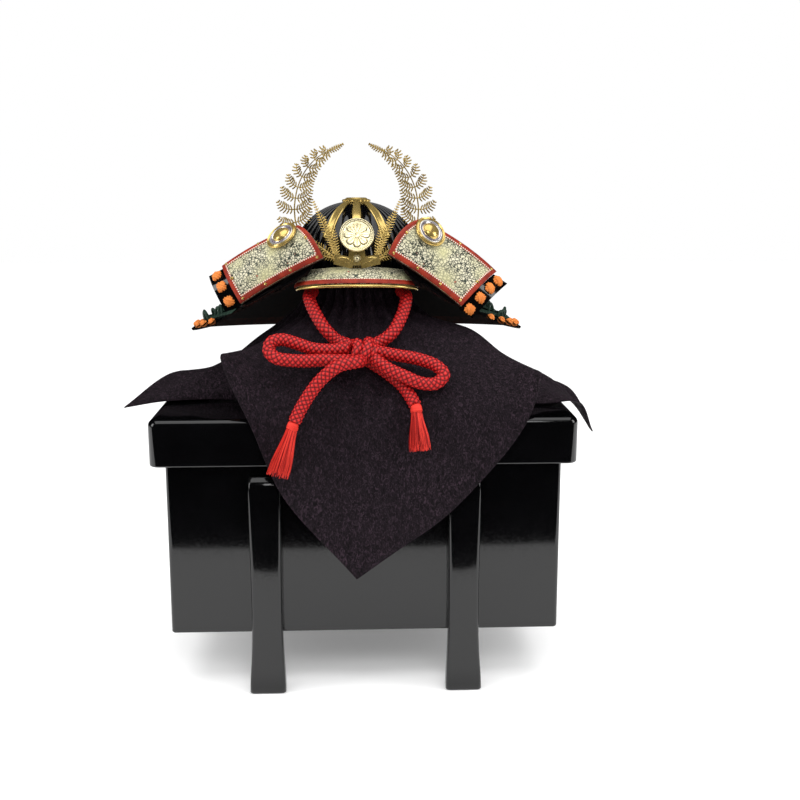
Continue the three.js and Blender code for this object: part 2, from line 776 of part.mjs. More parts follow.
function crestDisc() {
  const half = discThickness / 2;
  return turnedOn([
    [0, -half], [discRadius, -half], [discRadius, half], [discRadius * 0.88, half],
    [discRadius * 0.84, half * 0.4], [0, half * 0.5],
  ], discSeat, discFacing, 20);
}

function crestBase() {
  const half = crestBaseWidth / 2;
  const high = crestFoot + crestBaseHeight;
  const outline = [
    [-half, crestFoot + crestBaseHeight * 0.3], [-half * 0.3, crestFoot], [half * 0.3, crestFoot],
    [half, crestFoot + crestBaseHeight * 0.3], [half * 0.9, high], [half * 0.35, high - 2],
    [half * 0.3, discHeight], [-half * 0.3, discHeight], [-half * 0.35, high - 2], [-half * 0.9, high],
  ];
  const plate = uprightPlate(outline, crestThickness, () => -crestDepth);
  const forward = new THREE.BoxGeometry(crestBaseWidth * 2, 40, discHeight);
  forward.rotateX(radians(-discLean));
  forward.translate(helmetShift, 0, 0);
  const push = discFacing.clone().multiplyScalar(20 - discThickness / 2 - clearance);
  forward.translate(0, push.y + discSeat[1], push.z + discSeat[2]);
  return cutBack(plate, [forward]);
}

function crestBoss() {
  const seat = [helmetShift, -crestDepth - clearance, crestFoot + crestBaseHeight * 0.72];
  return turnedOn([[0, 0], [3.4, 0], [3.4, 1.2], [2.2, 2.6], [0, 3.2]], seat,
    new THREE.Vector3(0, -1, 0), 10);
}

// The small sprays tilt back a little, and the fronds behind them bend back beside the bowl
const sprayThickness = frondThickness * 0.8;
const sprayBack = -crestDepth + crestThickness + clearance;
const frondBack = sprayBack + sprayThickness + 3 * clearance;
const leafFootZ = crestFoot + crestBaseHeight * 0.6;
const hubRadius = 2.6;
const sprayDepthAt = (x, z) => sprayBack + (z - leafFootZ + hubRadius) * sprayLean;

function frondDepthAt(side) {
  const startX = stalkShares[0][0] * frondSpread;
  return (x, z) => {
    const away = Math.hypot(side * x - startX, z - leafFootZ);
    const back = frondBack + frondRecess * smooth((away - 4) / (bowlHeight * 0.75));
    return Math.max(back, sprayDepthAt(x, z) + sprayThickness + 3 * clearance);
  };
}

// Points round a pointed leaf, from one side of its foot over its tip to the other side
function leafOutline(foot, tip, width, curl = 0) {
  const along = tip.clone().sub(foot);
  const across = new THREE.Vector2(-along.y, along.x).normalize();
  const spot = (share, side) => foot.clone().addScaledVector(along, share)
    .addScaledVector(across, curl * 4 * share * (1 - share) + side);
  const half = width / 2;
  return [
    spot(0.4, half), spot(0.85, half * 0.7), spot(1, 0), spot(0.85, -half * 0.7), spot(0.4, -half),
  ];
}

const flatPlate = (outline, thickness) => (
  new THREE.ExtrudeGeometry(new THREE.Shape(outline), { depth: thickness, bevelEnabled: false })
);

// Frond stalk, as shares of the frond's spread and its height over the crest's foot
const stalkShares = [
  [0.3, 0.04], [0.52, 0.14], [0.8, 0.235], [0.96, 0.33], [1, 0.45], [0.985, 0.55], [0.93, 0.665],
  [0.81, 0.785], [0.64, 0.88], [0.42, 0.95], [0.2, 1],
];
const leafWidthShare = 0.36;
const leafCurl = 0.13;
// Leaf pairs: place on the stalk, then length and turn from the stalk of the leaf on each side
const leafPairs = [
  { place: 0.37, outLength: 15.5, outTurn: 62, inLength: 16, inTurn: 74 },
  { place: 0.45, outLength: 16, outTurn: 62, inLength: 16.5, inTurn: 60 },
  { place: 0.52, outLength: 15, outTurn: 58, inLength: 15, inTurn: 57 },
  { place: 0.59, outLength: 13.5, outTurn: 52, inLength: 14, inTurn: 56 },
  { place: 0.66, outLength: 12, outTurn: 48, inLength: 12.5, inTurn: 56 },
  { place: 0.73, outLength: 10, outTurn: 46, inLength: 10.5, inTurn: 54 },
  { place: 0.795, outLength: 8.5, outTurn: 42, inLength: 8.5, inTurn: 46 },
  { place: 0.85, outLength: 7, outTurn: 36, inLength: 6.5, inTurn: 38 },
];

// A frond is one outline: up the stalk past the leaves of one side, and down past the others
function fernFrond(side) {
  const curve = new THREE.CatmullRomCurve3(stalkShares.map(([across, high]) => new THREE.Vector3(
    side * across * frondSpread, crestFoot + high * frondHeight, 0,
  )), false, 'centripetal');
  const place = (share) => {
    const point = curve.getPointAt(share);
    const tangent = curve.getTangentAt(share);
    return { point: new THREE.Vector2(point.x, point.y), tangent: new THREE.Vector2(tangent.x, tangent.y) };
  };
  const stalkEdge = (share, flank) => {
    const { point, tangent } = place(share);
    const half = frondStalk / 2 * (1 - share * 0.4);
    return point.addScaledVector(new THREE.Vector2(tangent.y, -tangent.x), flank * half);
  };
  const flankOutline = (flank) => {
    const outer = flank === side;
    const points = [0, 0.09, 0.18, 0.27].map((share) => stalkEdge(share, flank));
    for (const pair of leafPairs) {
      const length = outer ? pair.outLength : pair.inLength;
      const turn = outer ? pair.outTurn : pair.inTurn;
      const { point, tangent } = place(pair.place);
      const heading = tangent.clone().rotateAround(new THREE.Vector2(), -flank * radians(turn));
      const tip = point.clone().addScaledVector(heading, length);
      const leaf = leafOutline(point, tip, length * leafWidthShare, -flank * length * leafCurl);
      points.push(stalkEdge(pair.place - 0.008, flank));
      points.push(...(flank > 0 ? leaf.reverse() : leaf));
      points.push(stalkEdge(pair.place + 0.008, flank));
    }
    return points;
  };
  const tipLeaf = leafOutline(place(0.88).point, place(1).point, 5, side * 0.8);
  const outline = [...flankOutline(1), ...tipLeaf.reverse(), ...flankOutline(-1).reverse()];
  return bendPlate(flatPlate(outline, frondThickness), frondDepthAt(side));
}

// Small leaves that fan from each end of the base, as shares of the base's width
const sprayLeaves = [
  { tip: [0.92, 1.22], width: 0.18 },
  { tip: [0.7, 0.9], width: 0.17 },
  { tip: [0.5, 0.72], width: 0.15 },
  { tip: [0.98, 0.42], width: 0.18 },
  { tip: [0.86, 0.12], width: 0.16 },
];

function fernSpray(side) {
  const foot = new THREE.Vector2(side * crestBaseWidth * 0.4, leafFootZ);
  const plates = sprayLeaves.map(({ tip: [across, high], width }) => {
    const tip = new THREE.Vector2(side * across * crestBaseWidth, foot.y + high * crestBaseWidth);
    const leaf = leafOutline(foot, tip, width * crestBaseWidth);
    return flatPlate([foot, ...leaf], sprayThickness);
  });
  const hub = [0, 1, 2, 3, 4, 5].map((corner) => {
    const angle = corner * Math.PI / 3;
    return foot.clone().add(new THREE.Vector2(Math.cos(angle), Math.sin(angle)).multiplyScalar(hubRadius));
  });
  plates.push(flatPlate(hub, sprayThickness));
  return bendPlate(fuse(plates), sprayDepthAt);
}

addPiece('crest_base', crestBase(), gilt);
addPiece('crest_boss', crestBoss(), gilt);
addPiece('crest_disc', crestDisc(), paleGilt);
for (const [side, sign] of [['left', -1], ['right', 1]]) {
  addPiece(`fern_frond_${side}`, fernFrond(sign), gilt);
}

// Stand post, hidden under the cloth
const headTop = crownZ - bowlWall - clothThickness - 2 * clearance;

const headDomeZ = (share) => headTop - postHeadDrop * share ** 2.2;

function standPost() {
  const foot = lidTop + clearance;
  const neck = headTop - postHeadDrop - postHeadEdge - (postHeadRadius - postRadius) * 0.6;
  const profile = [
    [0, foot], [postFootRadius, foot], [postFootRadius, foot + postFootHeight],
    [postRadius, foot + postFootHeight], [postRadius, neck],
    [postHeadRadius, headTop - postHeadDrop - postHeadEdge],
    ...[1, 0.8, 0.5, 0].map((share) => [postHeadRadius * share, headDomeZ(share)]),
  ];
  const points = profile.map(([radius, z]) => new THREE.Vector2(radius, z));
  const geometry = new THREE.LatheGeometry(points, 18);
  geometry.rotateX(Math.PI / 2);
  geometry.translate(helmetShift, 0, 0);
  return geometry;
}

addPiece('stand_post', standPost(), plainWood);

// Cloth folds, clockwise from the front as the wearer sees it. Azimuth is in degrees, and each
// station is [across, deep, high] in shares of the lid's half width and half depth and of the
// rim's height over the lid
const clothFolds = [
  { azimuth: 0, knee: [-0.028, -0.669, 0.465], edge: [-0.033, -1.024, -0.009], hem: [-0.041, -1.045, -1.199] },
  { azimuth: 14, knee: [-0.172, -0.678, 0.465], edge: [-0.261, -1.029, 0.009], hem: [-0.378, -1.049, -0.553] },
  { azimuth: 29, knee: [-0.294, -0.645, 0.491], edge: [-0.428, -0.955, 0.158], hem: [-0.519, -1.051, -0.009] },
  { azimuth: 42, knee: [-0.439, -0.457, 0.526], edge: [-0.55, -0.678, 0.469], hem: [-0.656, -0.873, 0.456] },
  { azimuth: 52, knee: [-0.411, -0.31, 0.5], edge: [-0.489, -0.49, 0.289], hem: [-0.55, -0.637, 0.246] },
  { azimuth: 62, knee: [-0.383, -0.196, 0.439], edge: [-0.433, -0.278, 0.193], hem: [-0.5, -0.31, 0.018] },
  { azimuth: 71, knee: [-0.433, -0.163, 0.404], edge: [-0.589, -0.278, 0.14], hem: [-0.767, -0.335, 0.018] },
  { azimuth: 76, knee: [-0.467, -0.139, 0.404], edge: [-0.711, -0.261, 0.149], hem: [-0.978, -0.408, 0.018] },
  { azimuth: 81, knee: [-0.511, -0.106, 0.404], edge: [-0.844, -0.237, 0.158], hem: [-1.156, -0.49, -0.009] },
  { azimuth: 88, knee: [-0.533, 0.024, 0.439], edge: [-0.756, -0.041, 0.228], hem: [-0.956, -0.122, 0.189] },
  { azimuth: 97, knee: [-0.511, 0.147, 0.439], edge: [-0.7, 0.147, 0.211], hem: [-0.844, 0.082, 0.154] },
  { azimuth: 109, knee: [-0.467, 0.294, 0.456], edge: [-0.633, 0.424, 0.246], hem: [-0.75, 0.506, 0.132] },
  { azimuth: 133, knee: [-0.339, 0.555, 0.57], edge: [-0.428, 0.71, 0.412], hem: [-0.489, 0.8, 0.307] },
  { azimuth: 157, knee: [-0.189, 0.686, 0.5], edge: [-0.233, 0.865, 0.263], hem: [-0.267, 0.963, 0.105] },
  { azimuth: 168, knee: [-0.106, 0.71, 0.474], edge: [-0.133, 1.008, 0.079], hem: [-0.161, 1.045, -0.14] },
  { azimuth: 180, knee: [-0.028, 0.718, 0.465], edge: [-0.028, 1.029, -0.009], hem: [-0.028, 1.05, -0.526] },
  { azimuth: 192, knee: [0.05, 0.71, 0.474], edge: [0.078, 1.008, 0.079], hem: [0.106, 1.05, -0.14] },
  { azimuth: 203, knee: [0.133, 0.686, 0.5], edge: [0.178, 0.865, 0.263], hem: [0.211, 0.963, 0.105] },
  { azimuth: 227, knee: [0.283, 0.555, 0.57], edge: [0.372, 0.71, 0.412], hem: [0.433, 0.8, 0.307] },
  { azimuth: 251, knee: [0.422, 0.294, 0.456], edge: [0.589, 0.424, 0.246], hem: [0.711, 0.49, 0.123] },
  { azimuth: 259, knee: [0.489, 0.147, 0.439], edge: [0.722, 0.163, 0.193], hem: [0.917, 0.098, 0.088] },
  { azimuth: 268, knee: [0.522, 0.033, 0.439], edge: [0.844, 0, 0.175], hem: [1.061, -0.082, 0.026] },
  { azimuth: 277, knee: [0.533, -0.082, 0.421], edge: [0.978, -0.204, 0.096], hem: [1.153, -0.327, -0.272] },
  { azimuth: 284, knee: [0.5, -0.131, 0.421], edge: [0.833, -0.327, 0.14], hem: [1.044, -0.539, 0.018] },
  { azimuth: 290, knee: [0.456, -0.18, 0.421], edge: [0.678, -0.376, 0.149], hem: [0.867, -0.596, 0.018] },
  { azimuth: 298, knee: [0.411, -0.22, 0.439], edge: [0.5, -0.343, 0.193], hem: [0.6, -0.473, 0.018] },
  { azimuth: 308, knee: [0.489, -0.351, 0.5], edge: [0.622, -0.506, 0.281], hem: [0.778, -0.702, 0.167] },
  { azimuth: 318, knee: [0.522, -0.482, 0.575], edge: [0.667, -0.653, 0.412], hem: [0.825, -0.873, 0.307] },
  { azimuth: 324, knee: [0.428, -0.571, 0.544], edge: [0.622, -0.898, 0.237], hem: [0.756, -1.037, 0.044] },
  { azimuth: 331, knee: [0.333, -0.645, 0.509], edge: [0.528, -1.019, 0.079], hem: [0.65, -1.053, -0.237] },
  { azimuth: 346, knee: [0.117, -0.678, 0.465], edge: [0.206, -1.029, 0.009], hem: [0.4, -1.049, -0.684] },
];

function clothSpoke({ azimuth, knee, edge, hem }) {
  const angle = radians(azimuth);
  const ring = (halfWidth, halfDepth, z) => [
    helmetShift - halfWidth * Math.sin(angle), -halfDepth * Math.cos(angle), z,
  ];
  const station = ([across, deep, high]) => [
    across * lidWidth / 2, deep * lidDepth / 2, lidTop + high * rimHeight,
  ];
  const lift = clearance + clothThickness / 2;
  const onHead = (share) => ring(
    postHeadRadius * share, postHeadRadius * share, headDomeZ(share) + lift * (1 + share * 0.8),
  );
  const skirt = postHeadRadius + lift + 2.6;
  return [
    ring(0, 0, headTop + lift), onHead(0.5), onHead(0.8),
    ring(skirt, skirt + 1, headTop - postHeadDrop - 1),
    ring(clothCollarWidth, clothCollarDepth, rimZ - clothCollarDrop),
    station(knee), station(edge), station(hem),
  ];
}

// Points of the cloth's middle surface: spokes round the post, each from the centre to the hem
function clothGrid(spokeSteps, stationSteps) {
  const spokes = clothFolds.map(clothSpoke);
  const rails = spokes[0].map((_, station) => new THREE.CatmullRomCurve3(
    spokes.map((spoke) => vector(spoke[station])), true, 'centripetal',
  ));
  const total = clothFolds.length * spokeSteps;
  return Array.from({ length: total }, (_, step) => {
    const spoke = rails.map((rail, station) => (
      station === 0 ? vector(spokes[0][0]) : rail.getPoint(step / total)
    ));
    const curve = new THREE.CatmullRomCurve3(spoke, false, 'centripetal');
    return shares(stationSteps).map((share) => curve.getPoint(share));
  });
}

function standCloth() {
  const grid = clothGrid(2, 7);
  const spokes = grid.length;
  const last = grid[0].length - 1;
  const upAtCentre = new THREE.Vector3(0, 0, 1);
  const normalAt = (spoke, station) => {
    if (station === 0) return upAtCentre;
    const before = grid[(spoke + spokes - 1) % spokes][station];
    const after = grid[(spoke + 1) % spokes][station];
    const inner = grid[spoke][station - 1];
    const outer = grid[spoke][Math.min(station + 1, last)];
    const normal = outer.clone().sub(inner).cross(after.clone().sub(before)).normalize();
    return normal.lengthSq() > 0 ? normal : upAtCentre;
  };
  const layer = (lift) => grid.map((points, spoke) => points.map(
    (point, station) => point.clone().addScaledVector(normalAt(spoke, station), lift).toArray(),
  ));
  return wall(layer(clothThickness / 2), layer(-clothThickness / 2), true);
}

addPiece('stand_cloth', standCloth(), darkCloth);

// Bow: a knot that the chin cord, both loops and both hanging ends run into
const knotCentre = [-2.5, -105, 294.5];

function knot(grow) {
  const body = new THREE.SphereGeometry(0.5, 10, 7);
  body.scale(knotWidth + 2 * grow, knotDepth + 2 * grow, knotHeight + 2 * grow);
  body.translate(...knotCentre);
  const lumps = [[-2, -109, 300.2], [4.5, -108, 299.4]].map((centre) => {
    const lump = new THREE.SphereGeometry(cordDiameter * 0.42 + grow, 7, 5);
    lump.translate(...centre);
    return lump;
  });
  return fuse([body, ...lumps]);
}

const knotRoom = knot(clearance);

function freeCord(route, steps, tasselEnd) {
  const rooms = [knotRoom];
  if (tasselEnd) rooms.push(tasselPart(route, tasselEnd, tasselHead(clearance)));
  return cutBack(tube(route, cordDiameter, 8, steps), rooms);
}

// A piece drawn hanging down from the origin, moved to a cord's end and turned along the tassel
function tasselPart(route, end, geometry) {
  const top = vector(route[route.length - 1]);
  const axis = vector(end).sub(top).normalize();
  const turn = new THREE.Quaternion().setFromUnitVectors(new THREE.Vector3(0, -1, 0), axis);
  geometry.applyQuaternion(turn);
  geometry.translate(top.x, top.y, top.z);
  return geometry;
}

function tasselHead(grow) {
  const head = new THREE.CylinderGeometry(
    tasselHeadRadius + grow, tasselHeadRadius * 1.1 + grow, tasselHeadLength + 2 * grow, 10,
  );
  head.translate(0, -tasselHeadLength / 2, 0);
  return head;
}

// A tassel: a bound head and eight locks fused under it
function tassel(route, end) {
  const length = vector(end).distanceTo(vector(route[route.length - 1]));
  const locks = [];
  for (let lock = 0; lock < 8; lock += 1) {
    const angle = lock * Math.PI / 4;
    const geometry = new THREE.CylinderGeometry(
      tasselHeadRadius * 0.55, tasselSkirtRadius * 0.36, length - tasselHeadLength * 0.5, 6,
    );
    geometry.translate(0, -(length + tasselHeadLength * 0.5) / 2, 0);
    const position = geometry.attributes.position;
    for (let vertex = 0; vertex < position.count; vertex += 1) {
      const share = -position.getY(vertex) / length;
      const spread = mix(tasselHeadRadius * 0.4, tasselSkirtRadius * 0.64, share);
      const length2 = lock % 2 === 0 ? 1 : 0.96;
      position.setXYZ(
        vertex,
        position.getX(vertex) + Math.cos(angle) * spread,
        position.getY(vertex) * length2,
        (position.getZ(vertex) + Math.sin(angle) * spread) * 0.72,
      );
    }
    locks.push(geometry);
  }
  return tasselPart(route, end, fuse([tasselHead(0), ...locks]));
}

addPiece('bow_knot', knot(0), redBraid);
addPiece('chin_cord', freeCord(chinCordRoute, 30), redBraid);
addPiece('bow_loop_left', freeCord(leftLoopRoute, 14), redBraid);
addPiece('bow_loop_right', freeCord(rightLoopRoute, 13), redBraid);
addPiece('cord_end_left', freeCord(leftTailRoute, 7, leftTasselEnd), redBraid);
addPiece('cord_end_right', freeCord(rightTailRoute, 6, rightTasselEnd), redBraid);
addPiece('tassel_left', tassel(leftTailRoute, leftTasselEnd), redBraid);
addPiece('tassel_right', tassel(rightTailRoute, rightTasselEnd), redBraid);

for (const [side, sign] of [['left', -1], ['right', 1]]) {
  addPiece(`fern_spray_${side}`, fernSpray(sign), gilt);
}

export default part;
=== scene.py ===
# Display helmet with fern crest, tied over a cloth on its four-legged storage chest.
# Sizes and routes are in millimetres and turned into metres when a mesh is made. The camera, the
# floor, the lights and the insides of materials work in metres.

import random

import bmesh
import bpy
from math import asin, atan2, cos, floor as round_down, hypot, pi, radians, sin
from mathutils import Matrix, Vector, kdtree


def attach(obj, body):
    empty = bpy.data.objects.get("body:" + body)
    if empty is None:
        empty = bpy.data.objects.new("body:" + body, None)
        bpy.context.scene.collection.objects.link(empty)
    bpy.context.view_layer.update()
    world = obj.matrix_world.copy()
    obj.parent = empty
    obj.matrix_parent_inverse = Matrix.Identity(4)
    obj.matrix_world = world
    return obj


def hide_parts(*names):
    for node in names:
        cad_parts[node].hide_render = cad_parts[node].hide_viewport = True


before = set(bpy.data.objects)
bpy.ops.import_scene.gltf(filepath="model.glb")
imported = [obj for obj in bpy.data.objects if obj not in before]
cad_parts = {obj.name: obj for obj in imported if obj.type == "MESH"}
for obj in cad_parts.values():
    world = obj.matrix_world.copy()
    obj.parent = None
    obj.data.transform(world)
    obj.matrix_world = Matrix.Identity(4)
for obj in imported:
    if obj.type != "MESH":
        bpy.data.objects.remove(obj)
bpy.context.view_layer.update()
MM = 0.001

# Camera at the photo's viewing angle
camera_place = (-0.0086, -1.0226, 0.4342)
camera_tilt = 78.81
camera_turn = -2.42
camera_data = bpy.data.cameras.new("camera")
camera_data.lens = 50
camera_data.sensor_width = 36
camera_data.clip_end = 20
camera = bpy.data.objects.new("camera", camera_data)
camera.location = camera_place
camera.rotation_euler = (radians(camera_tilt), 0, radians(camera_turn))
bpy.context.collection.objects.link(camera)
bpy.context.scene.camera = camera

# Small maths and curves
least_length = 1e-9
route_steps = 24


def mix(low, high, share):
    return low + (high - low) * share


def clamp(value, low=0.0, high=1.0):
    return min(high, max(low, value))


def grown(value, start, width):
    """From 0 at the start to 1 a width above it."""
    return smooth((value - start) / width)


def shrunk(value, start, width):
    """From 0 at the start to 1 a width below it."""
    return smooth((start - value) / width)


def smooth(value):
    value = clamp(value)
    return value * value * (3 - 2 * value)


def shares(count):
    return [step / count for step in range(count + 1)]


def angles(count):
    return [step / count * 2 * pi for step in range(count)]


def eased(table_x, table_y, x):
    """A smooth curve through a table, read at x."""
    last = len(table_x) - 1
    x = clamp(x, table_x[0], table_x[-1])
    spot = next((i for i in range(last) if x <= table_x[i + 1]), last - 1)
    slope = []
    for i in (spot, spot + 1):
        before, after = max(i - 1, 0), min(i + 1, last)
        slope.append((table_y[after] - table_y[before]) / (table_x[after] - table_x[before]))
    width = table_x[spot + 1] - table_x[spot]
    t = (x - table_x[spot]) / width
    a, b = table_y[spot], table_y[spot + 1]
    return ((2 * t**3 - 3 * t**2 + 1) * a + (t**3 - 2 * t**2 + t) * width * slope[0]
            + (-2 * t**3 + 3 * t**2) * b + (t**3 - t**2) * width * slope[1])


def catmull_rom(a, b, c, d, share):
    """A point of the smooth centripetal curve between b and c."""
    knots = [0.0]
    for p, q in ((a, b), (b, c), (c, d)):
        knots.append(knots[-1] + max((q - p).length, least_length) ** 0.5)
    t0, t1, t2, t3 = knots
    t = mix(t1, t2, share)
    p01 = a * ((t1 - t) / (t1 - t0)) + b * ((t - t0) / (t1 - t0))
    p12 = b * ((t2 - t) / (t2 - t1)) + c * ((t - t1) / (t2 - t1))
    p23 = c * ((t3 - t) / (t3 - t2)) + d * ((t - t2) / (t3 - t2))
    p012 = p01 * ((t2 - t) / (t2 - t0)) + p12 * ((t - t0) / (t2 - t0))
    p123 = p12 * ((t3 - t) / (t3 - t1)) + p23 * ((t - t1) / (t3 - t1))
    return p012 * ((t2 - t) / (t2 - t1)) + p123 * ((t - t1) / (t2 - t1))


def smooth_route(points, step):
    """Evenly spaced points on one smooth curve through given points, and its length."""
    points = [Vector(point) for point in points]
    padded = [points[0] * 2 - points[1], *points, points[-1] * 2 - points[-2]]
    dense = []
    for a, b, c, d in zip(padded, padded[1:], padded[2:], padded[3:]):
        dense += [catmull_rom(a, b, c, d, share) for share in shares(route_steps)[:-1]]
    dense.append(points[-1])
    lengths = [0.0]
    for p, q in zip(dense, dense[1:]):
        lengths.append(lengths[-1] + (q - p).length)
    total = lengths[-1]
    count = max(2, round(total / step))
    even = []
    spot = 0
    for index in range(count + 1):
        target = total * index / count
        while spot < len(lengths) - 2 and lengths[spot + 1] < target:
            spot += 1
        span = max(lengths[spot + 1] - lengths[spot], least_length)
        even.append(dense[spot].lerp(dense[spot + 1], (target - lengths[spot]) / span))
    return even, total


def route_frames(points):
    """Two directions across each point of a route, which turn as little as they can."""
    tangents = []
    for index in range(len(points)):
        ahead = points[min(index + 1, len(points) - 1)]
        behind = points[max(index - 1, 0)]
        tangents.append((ahead - behind).normalized())
    side = tangents[0].orthogonal().normalized()
    frames = []
    for tangent in tangents:
        side = (side - tangent * side.dot(tangent)).normalized()
        frames.append((side, tangent.cross(side)))
    return frames


# Making meshes
soft_angle = 35


def new_piece(name, points, faces, materials, uvs=None, sharp=soft_angle, face_slots=None, slot=None):
    mesh = bpy.data.meshes.new(name)
    mesh.from_pydata([tuple(axis * MM for axis in point) for point in points], [], faces)
    work = bmesh.new()
    work.from_mesh(mesh)
    bmesh.ops.recalc_face_normals(work, faces=work.faces)
    work.to_mesh(mesh)
    work.free()
    if uvs:
        layer = mesh.uv_layers.new(name="UVMap")
        for corner in mesh.loops:
            layer.data[corner.index].uv = uvs[corner.vertex_index]
    for material in materials:
        mesh.materials.append(material)
    for polygon in mesh.polygons:
        polygon.use_smooth = True
        if face_slots:
            polygon.material_index = face_slots[polygon.index]
    mesh.update()
    mesh.set_sharp_from_angle(angle=radians(sharp))
    piece = bpy.data.objects.new(name, mesh)
    bpy.context.collection.objects.link(piece)
    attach(piece, "root")
    return piece


def join_corners(mesh, distance, recalculate=False):
    """Joins the corners of a mesh that lie closer together than a distance."""
    work = bmesh.new()
    work.from_mesh(mesh)
    bmesh.ops.remove_doubles(work, verts=work.verts, dist=distance)
    if recalculate:
        bmesh.ops.recalc_face_normals(work, faces=work.faces)
    work.to_mesh(mesh)
    work.free()


class Build:
    """Points and faces of one piece, gathered from several parts."""

    def __init__(self):
        self.points = []
        self.faces = []
        self.uvs = []
        self.slots = []

    def add(self, points, faces, uvs=None, slot=0):
        start = len(self.points)
        self.points += [tuple(point) for point in points]
        self.faces += [tuple(start + corner for corner in face) for face in faces]
        self.uvs += uvs if uvs else [(0.0, 0.0)] * len(points)
        self.slots += [slot] * len(faces)

    def piece(self, name, materials, slot=None, sharp=soft_angle):
        return new_piece(name, self.points, self.faces, materials, self.uvs, sharp, self.slots, slot)


def wall(front, back, ring=False):
    """A wall between two matching grids of points, closed along its edges."""
    rows, columns = len(front), len(front[0])
    points = [point for row in front for point in row] + [point for row in back for point in row]

    def vertex(side, row, column):
        return side * rows * columns + (row % rows) * columns + column

    faces = []
    for row in range(rows if ring else rows - 1):
        for column in range(columns - 1):
            quad = [vertex(0, row, column), vertex(0, row + 1, column),
                    vertex(0, row + 1, column + 1), vertex(0, row, column + 1)]
            faces.append(quad)
            faces.append([corner + rows * columns for corner in reversed(quad)])
        last = columns - 1
        faces.append([vertex(1, row, 0), vertex(1, row + 1, 0), vertex(0, row + 1, 0), vertex(0, row, 0)])
        faces.append([vertex(0, row, last), vertex(0, row + 1, last),
                      vertex(1, row + 1, last), vertex(1, row, last)])
    if not ring:
        for column in range(columns - 1):
            last = rows - 1
            faces.append([vertex(0, 0, column), vertex(0, 0, column + 1),
                          vertex(1, 0, column + 1), vertex(1, 0, column)])
            faces.append([vertex(1, last, column), vertex(1, last, column + 1),
                          vertex(0, last, column + 1), vertex(0, last, column)])
    return points, faces


def front_slots(points, faces):
    """Material slots of a wall: 0 for its front, 1 for its edges and back."""
    return [0 if max(face) < len(points) // 2 else 1 for face in faces]


def loft(rings, caps=True, closed=False):
    """A skin over rings of points."""
    count = len(rings[0])
    points = [point for ring in rings for point in ring]
    faces = []
    spans = len(rings) if closed else len(rings) - 1
    for ring in range(spans):
        after = (ring + 1) % len(rings)
        for step in range(count):
            beside = (step + 1) % count
            faces.append([ring * count + step, ring * count + beside,
                          after * count + beside, after * count + step])
    if caps and not closed:
        faces.append(list(range(count))[::-1])
        faces.append([(len(rings) - 1) * count + step for step in range(count)])
    return points, faces


def tube(route, radius, sides, step, taper=None):
    """A round tube along a route; taper gives the radius as a share along it."""
    points, total = smooth_route(route, step)
    rings = []
    for index, (point, (side, up)) in enumerate(zip(points, route_frames(points))):
        share = index / (len(points) - 1)
        size = radius * (taper(share) if taper else 1)
        rings.append([point + (side * cos(turn) + up * sin(turn)) * size
                      for turn in angles(sides)])
    uvs = [(index / (len(points) - 1) * total * MM, corner / sides)
           for index in range(len(points)) for corner in range(sides)]
    mesh_points, faces = loft(rings)
    return mesh_points, faces, uvs


def turned(profile, seat, direction, sides, caps=True):
    """A turned ornament on a seat point, along its outward direction."""
    direction = Vector(direction).normalized()
    side = direction.orthogonal().normalized()
    up = direction.cross(side)
    rings = []
    for radius, height in profile:
        rings.append([Vector(seat) + direction * height
                      + (side * cos(turn) + up * sin(turn)) * max(radius, 0.01)
                      for turn in angles(sides)])
    return loft(rings, caps)


# Materials. The braid's strands and cells set both the painted shade in its gaps here and its surface below
braid_strands = 6
braid_cell = 4.4
braid_depth = 1.25
metal_share = 0.8
metal_grain = 0.03
silk_roughness = 0.5


